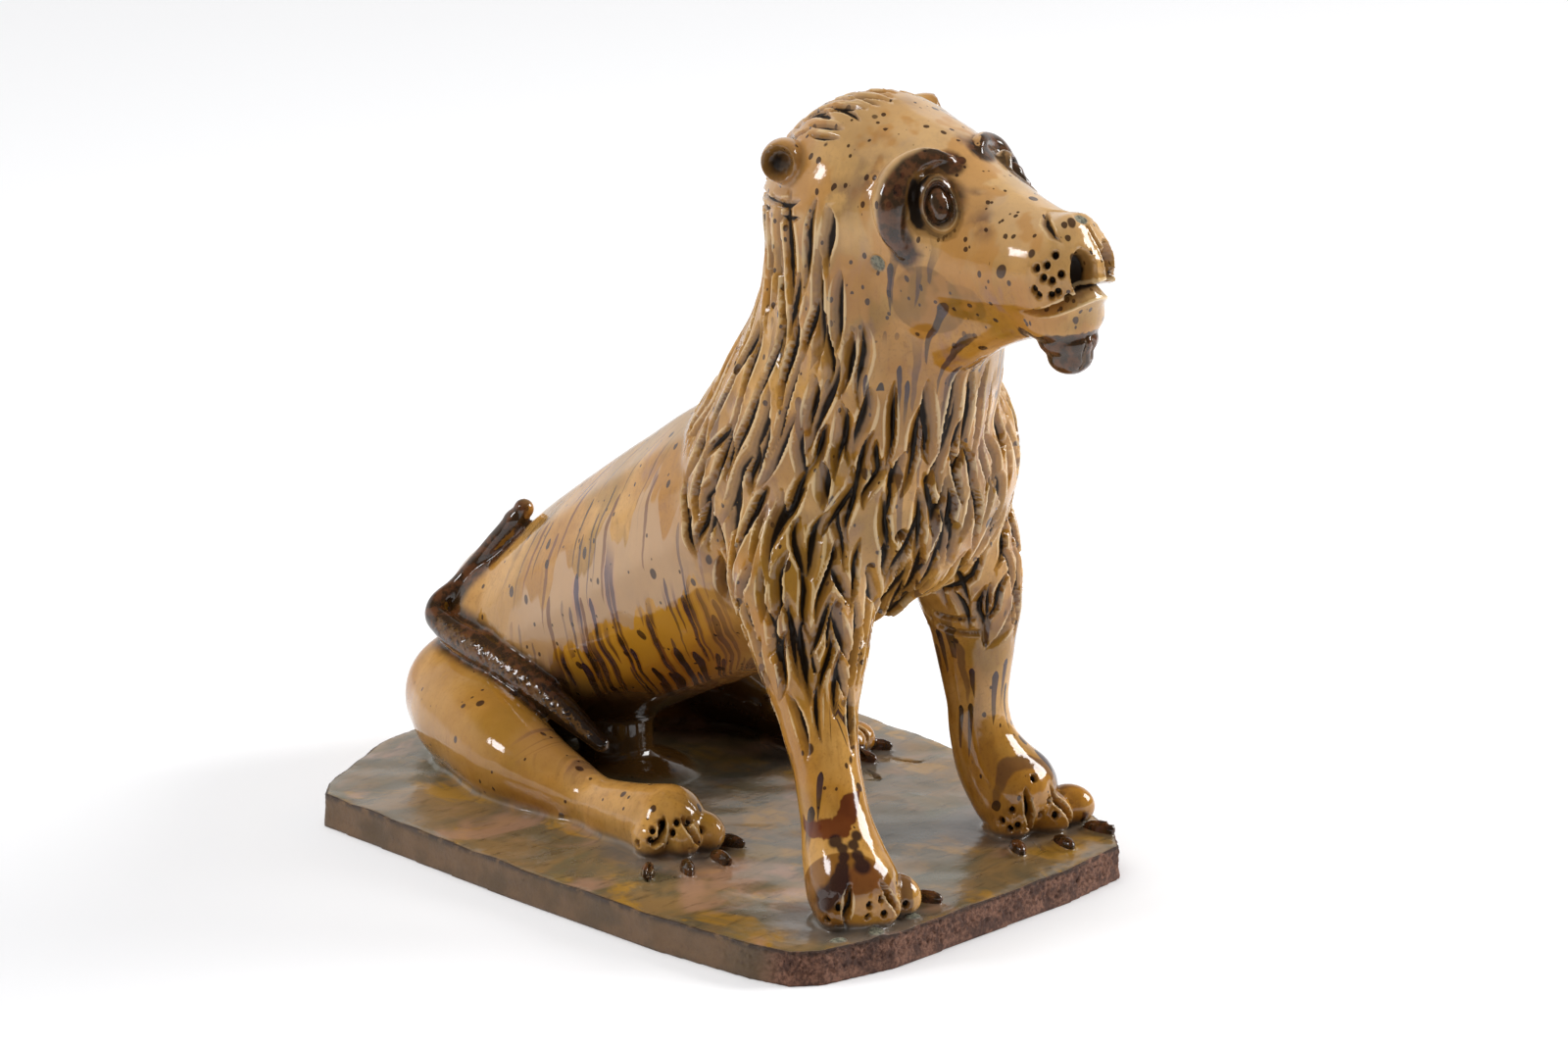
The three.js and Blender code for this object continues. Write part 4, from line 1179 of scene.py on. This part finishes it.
under_eye = glaze.near_any(place, [(-38, -116, 228), (16, -118, 228)], 14, 26)
throat_runs = runs(glaze, neck, 5, 44, 2.2, 5.1, 0.4) * throat
throat_runs = throat_runs + runs(glaze, neck, 4.4, 40, 1.8, 1.4, 0.45) * under_eye
mane_runs = runs(glaze, neck, 9, 50, 3.0, 8.9, 0.45)
mane_runs = mane_runs * forward.above(-0.02, -0.05) * height.above(0.215, 0.19)
right_leg = runs(glaze, round_a_post(glaze, place, -54, -104, 13), 6.5, 34, 3.0, 3.7, 0.5)
left_leg = runs(glaze, round_a_post(glaze, place, 40, -86, 13), 5.5, 36, 3.0, 5.9, 0.3)
leg_runs = right_leg * glaze.near(place, (-52, -100, 62), 26, 34)
leg_runs = leg_runs + left_leg * glaze.near(place, (39, -88, 55), 34, 48)
print(len(glaze.tree.nodes), "nodes with the streaks")

# %% [markdown]
# The streaks are near black with a violet cast, and greyer in the pale band, where the glaze is thin and a
# reflection is painted. Specks of three sizes lie all over, and the hollow under the belly is dark brown,
# partly pooled glaze and partly painted shade.

# %% Streaks, specks, pools and painted shade
streak = (long_runs + fine_runs * 0.8 + low_runs + throat_runs + leg_runs).clip()
inky = mix(glaze.noise(place, 130).above(0.42, 0.6), "ink", "violet_ink")
# Streaks in the pale band are greyer, as under its painted reflection.
inky = mix(pale_band_and_reflection * (1 - gold) * 0.75, inky, "thin_glaze_and_reflection_ink")
honey = mix(halo.clip() * 0.5, honey, mix(gold, "pale_halo", "gold_halo"))
honey = mix(back_runs * 0.8, honey, "back_run")
honey = mix(mane_runs * 0.7, honey, "mane_run")
honey = mix(streak * 0.94, honey, inky)
dots = specks(glaze, wavy, 9, 3.6, 1.0, 0.5) + specks(glaze, wavy, 4.5, 1.6, 4.0, 0.45)
dots = dots + specks(glaze, wavy, 3.4, 2.0, 8.0, 0.5) * height.above(0.2, 0.215)
honey = mix(dots.clip() * 0.88, honey, "speck")
# The dark brown under the belly is partly pooled glaze and partly painted shade.
pooled_and_shaded = (glaze.near(place, (-2, 40, 20), 26, 62) + glaze.near(place, (40, 40, 22), 20, 44)).clip()
honey = mix(pooled_and_shaded * 0.92, honey, "pool_and_shade")
print(len(glaze.tree.nodes), "nodes with specks and pools")

# %% [markdown]
# The right forepaw wears a second, darker glaze: a red-brown patch with straight edges above it, amber on
# the foot and a fork of dark strokes. The patch is what lies between four planes, three of them slanting.

# %% The right forepaw's dark glaze
PATCH_TOP, PATCH_BACK, PATCH_FRONT, PATCH_FOOT = 0.0735, 0.1135, 0.1094, 0.0552
SOFT_EDGE = 0.0008
DARK_STROKES = [(-66.3, -118.9, 41.4, 2.2), (-65.9, -122, 39.4, 1.7), (-67, -123.8, 37, 1.8),
                (-69, -125, 34.2, 2.2), (-71, -126.2, 31.4, 3), (-72.6, -126, 28.4, 3.6),
                (-74.2, -122.5, 23.8, 4.2), (-60, -122.8, 42.8, 1.8), (-62.6, -123.8, 40.4, 1.8),
                (-63.4, -126.4, 37.4, 2), (-64.2, -129.4, 34.6, 2.8)]
uneven = (glaze.noise(place, 160) - 0.5) * 0.006
patch = (height - sideways * 0.485 + uneven).above(PATCH_TOP, PATCH_TOP + SOFT_EDGE)
patch = patch * (height - sideways * 1.17).above(PATCH_BACK, PATCH_BACK + SOFT_EDGE)
patch = patch * (height - sideways * 0.95 + uneven).above(PATCH_FRONT, PATCH_FRONT - SOFT_EDGE)
patch = patch * height.above(PATCH_FOOT, PATCH_FOOT - SOFT_EDGE) * glaze.near(place, (-61, -116, 47), 13, 14)
honey = mix(patch * 0.94, honey, mix(thick.above(0.4, 0.6), "paw_red", "paw_dark"))
foot = glaze.near(place, (-66, -124, 22), 16.2, 16.8)
foot_glaze = mix(glaze.near(wavy, (-64, -133, 20), 5, 12), "foot", "foot_edge")
reddish = glaze.near_any(place, [(-69, -129, 30), (-64.5, -132, 31)], 3, 7)
foot_glaze = mix(reddish * 0.75, foot_glaze, "foot_red")
honey = mix(foot * 0.9, honey, foot_glaze)
honey = mix(glaze.near_any(place, DARK_STROKES, 0.75, 1.4) * 0.92, honey, "stroke")
print(len(DARK_STROKES), "spots in the dark strokes")

# %% [markdown]
# The trim is dark brown and mottled, and black at the tail's low end, where painted shade fills the crease
# between thigh and belly. Cuts hold a black pool with a brown edge, partly painted shade, and the glaze
# drew off their lips. The marks that the tools left on the mesh are the masks.

# %% Trim, cuts and lips
mottled = mix(glaze.noise(place, 260, 3).above(0.42, 0.62), "trim_dark", "trim_brown")
# Black at the tail's low end is painted shade in the crease between thigh and belly.
mottled = mix(glaze.near(place, (-34, 22, 32), 18, 46), mottled, "trim_black_and_crease_shade")
coat = mix(trim.above(0.2, 0.7) * 0.94, honey, mottled)
# The black in the deep cuts is partly pooled glaze and partly painted shade.
deep_pool_and_shade = (carved + (glaze.noise(place, 150) - 0.5) * 0.3).clip().above(0.46, 0.74)
coat = mix(carved.above(0.1, 0.4) * 0.55, coat, "shallow")
coat = mix(deep_pool_and_shade * 0.97, coat, "deep_pool_and_shade")
coat = mix(lip.above(0.3, 0.8) * 0.6 * (1 - trim * 0.6), coat, "lip")
print(len(glaze.tree.nodes), "nodes with trim and cuts")

# %% [markdown]
# On the slab the glazes ran together into clouds of grey, ochre, pink and green, smeared along the slab.
# Stretched noise gives each cloud, and height tells the slab from the lion.

# %% The slab's glaze
CLOUDY = (4, 0.6, 0.6)
PATCHY = (4, 0.6, 0.5)
FAINT = (3, 0.5, 0.5)
plate = mix(glaze.noise(glaze.stretched(place, (1, 1.6, 1), (5, 0, 0)), 24, *CLOUDY).above(0.4, 0.6),
            "slab_grey", "slab_ochre")
amber = glaze.noise(glaze.stretched(place, (1.5, 1, 1), (0, 9, 0)), 30, *PATCHY).above(0.5, 0.62)
plate = mix(amber * 0.8, plate, "slab_amber")
pink = glaze.noise(glaze.stretched(place, (1, 1.4, 1), (0, 4, 2)), 28, *FAINT).above(0.54, 0.68)
plate = mix(pink * 0.65, plate, "slab_pink")
green = glaze.noise(glaze.stretched(place, (1, 1.2, 1), (7, 4, 5)), 34, *FAINT).above(0.56, 0.68)
plate = mix(green * 0.4, plate, "slab_green")
smear = glaze.noise(glaze.stretched(place, (1, 3, 1)), 90, 4)
plate = mix(smear.above(0.52, 0.72) * 0.45, plate, "slab_smear")
near_paws = glaze.near_any(place, [(x, y, SLAB_TOP) for x, y in PAWS], 20, 30)
plate = mix(near_paws * 0.6, plate, "slab_paws")
# Under the belly the slab is painted dark: painted shade, with some pooled glaze.
plate = mix(pooled_and_shaded * 0.75, plate, "slab_pool_and_shade")
on_slab = (height + (wander - 0.5) * 0.006).above(0.0165, 0.0135) * (1 - trim.above(0.3, 0.7))
coat = mix(on_slab, coat, plate)
print(len(glaze.tree.nodes), "nodes with the slab")

# %% [markdown]
# The slab's edges are bare: red and gritty where the front crumbled, ochre and smoother at the sides,
# with a dark line along the arris where the glaze ends. The scars of chips show grey-green stone-like
# clay.

# %% Bare clay
gritty = glaze.noise(place, 700, 4, 0.7)
clay_front = mix(gritty.above(0.36, 0.64), "clay_dark", "clay_red")
clay_front = mix(glaze.noise(place, 150, 4, 0.6).above(0.48, 0.62) * 0.7, clay_front, "clay_hole")
clay_side = mix(glaze.noise(place, 60, 4).above(0.4, 0.62), "side_ochre", "side_dark")
clay_side = mix(gritty.above(0.5, 0.75) * 0.5, clay_side, "side_grit")
is_front = forward.above(-0.112, -0.126)
bare = mix(is_front, clay_side, clay_front)
arris = height.above(0.0095, 0.0118) * raw.above(0.2, 0.6)
bare = mix(arris * 0.85 * glaze.noise(place, 240).above(0.35, 0.5), bare, "arris")
coat = mix(raw.above(0.35, 0.7), coat, bare)
stone = mix(gritty.above(0.4, 0.6), "stone_dark", "stone_pale")
coat = mix(scar.above(0.3, 0.7), coat, stone)
print(len(glaze.tree.nodes), "nodes with the bare clay")

# %% [markdown]
# Lead glaze is very glossy and a little rippled. Bare clay is dry. The pools in the cuts would mirror the
# studio like black glass, so a dull shader is mixed in there as painted shade, for the shadow and dirt that
# lie in them.

# %% Gloss and ripple
dry = (raw.above(0.35, 0.7) + scar.above(0.3, 0.7)).clip()
gloss = 0.05 + glaze.noise(place, 50, 3) * 0.08 + carved * 0.12 + on_slab * 0.12
rough = gloss * (1 - dry) + dry * (0.55 + 0.35 * is_front)
ripple = glaze.noise(place, 120, 2) * 0.5 + glaze.noise(place, 420, 2) * 0.14 + gritty * dry * 0.7
bump = glaze.node("ShaderNodeBump", {}, {"Height": ripple, "Distance": 0.0006, "Strength": 0.55})
glossy_values = {"Base Color": coat, "Roughness": rough, "IOR": 1.6, "Normal": bump}
glossy = glaze.node("ShaderNodeBsdfPrincipled", {}, glossy_values)
dull_values = {"Base Color": coat, "Roughness": 0.6, "Specular IOR Level": 0.1}
shadow = glaze.node("ShaderNodeBsdfPrincipled", {}, dull_values)
shader = glaze.node("ShaderNodeMixShader", {}, {0: deep_pool_and_shade * (1 - on_slab) * 0.85, 1: glossy, 2: shadow})
glaze.surface(shader)
lion.data.materials.clear()
lion.data.materials.append(glaze.owner)
print(len(glaze.tree.nodes), "nodes in the whole glaze")

# %% [markdown]
# ## Join the frame
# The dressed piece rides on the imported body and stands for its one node, so that the library shows it in
# the solid's place.

# %% Ride on the frame
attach(lion, "root")
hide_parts("lion_figure")
print("lion at", [round(v, 3) for v in lion.location])

# %% [markdown]
# ## Floor, light and camera
# The photograph was taken on white paper in soft light. A wide pale sheet is the floor, and a plain
# material is enough for it.

# %% Floor
deselect()
bpy.ops.mesh.primitive_plane_add(size=8, location=(0, 0, 0))
floor = bpy.context.object
floor.name = "floor"
paper = Graph(bpy.data.materials.new("white_paper"))
paper_values = {"Base Color": shade(246, 246, 247), "Roughness": 0.9}
paper.surface(paper.node("ShaderNodeBsdfPrincipled", {}, paper_values))
floor.data.materials.append(paper.owner)
floor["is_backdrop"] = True
print("floor", [round(v, 1) for v in floor.dimensions])

# %% [markdown]
# A small window lamp at the left and a big soft box at the right give the sharp pale shapes in the glaze.
# A wide overhead sun gives the even light, and it is hidden from reflections, where its disc would be a
# haze.

# %% Lights
def soft_box(name, at, size, power, tint=(1, 1, 1)):
    """A square lamp that looks at the middle of the figure."""
    bpy.ops.object.light_add(type="AREA", location=at)
    lamp = bpy.context.object
    lamp.name = name
    lamp.data.shape = "RECTANGLE"
    lamp.data.size, lamp.data.size_y = size
    lamp.data.energy = power
    lamp.data.color = tint
    lamp.rotation_euler = (Vector((0, 0, 0.12)) - lamp.location).to_track_quat("-Z", "Y").to_euler()
    return lamp


soft_box("left_window", (-1.25, 0.7, 0.95), (0.3, 0.34), 4.5, (0.95, 0.96, 1))
soft_box("right_box", (1.35, -0.95, 0.95), (0.9, 0.9), 31)
bpy.ops.object.light_add(type="SUN", location=(0, 0, 2))
overhead = bpy.context.object
overhead.name = "overhead"
overhead.data.energy = 2.3
overhead.visible_glossy = False
overhead.data.angle = math.radians(75)
overhead.rotation_euler = Vector((-0.3, 0.25, 0.92)).to_track_quat("Z", "Y").to_euler()
print("three lamps are set")

# %% [markdown]
# Behind the figure the paper rises into a bright sweep, and the side of the camera is a dark room. The
# world is bright on one side for that, which keeps the dark glaze dark where it faces the camera.

# %% The room
room = Graph(bpy.data.worlds.new("room"))
looking = room.node("ShaderNodeTexCoord", output="Generated")
behind = room.vectors("DOT_PRODUCT", looking, (0.3, 0.95, 0), "Value")
sweep = behind.above(-0.15, 0.6) * room.parts(looking)[2].above(0.75, 0.4)
light = room.node("ShaderNodeBackground", {}, {"Color": (1, 1, 1, 1), "Strength": 0.1 + sweep * 0.7})
room.surface(light, "ShaderNodeOutputWorld")
bpy.context.scene.world = room.owner
bpy.context.scene.view_settings.view_transform = "Standard"
print(len(room.tree.nodes), "nodes in the room")

# %% [markdown]
# The camera stands far off with a long lens, as the slab's nearly parallel edges show. Its place and the
# ways it holds its right side and its back come from fitting those edges.

# %% Camera
CAMERA_AT = (-1.2337, -1.2641, 0.6143)
camera_data = bpy.data.cameras.new("camera")
camera_data.lens = 120
camera_data.sensor_width = 36
camera = bpy.data.objects.new("camera", camera_data)
bpy.context.scene.collection.objects.link(camera)
right = Vector((0.7077, -0.7065, 0)).normalized()
back = Vector((-0.68, -0.681, 0.2728)).normalized()
right = (right - back * right.dot(back)).normalized()
up = back.cross(right)
turned = Matrix((right, up, back)).transposed().to_4x4()
camera.matrix_world = Matrix.Translation(CAMERA_AT) @ turned
camera_data.clip_end = 50
bpy.context.scene.camera = camera
print("camera", round(Vector(CAMERA_AT).length, 2), "m from the slab's middle")

# %% Finish
size = {"cad": [list(v) for v in cad_box], "visual": [list(v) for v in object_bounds()]}
print("size:", size)
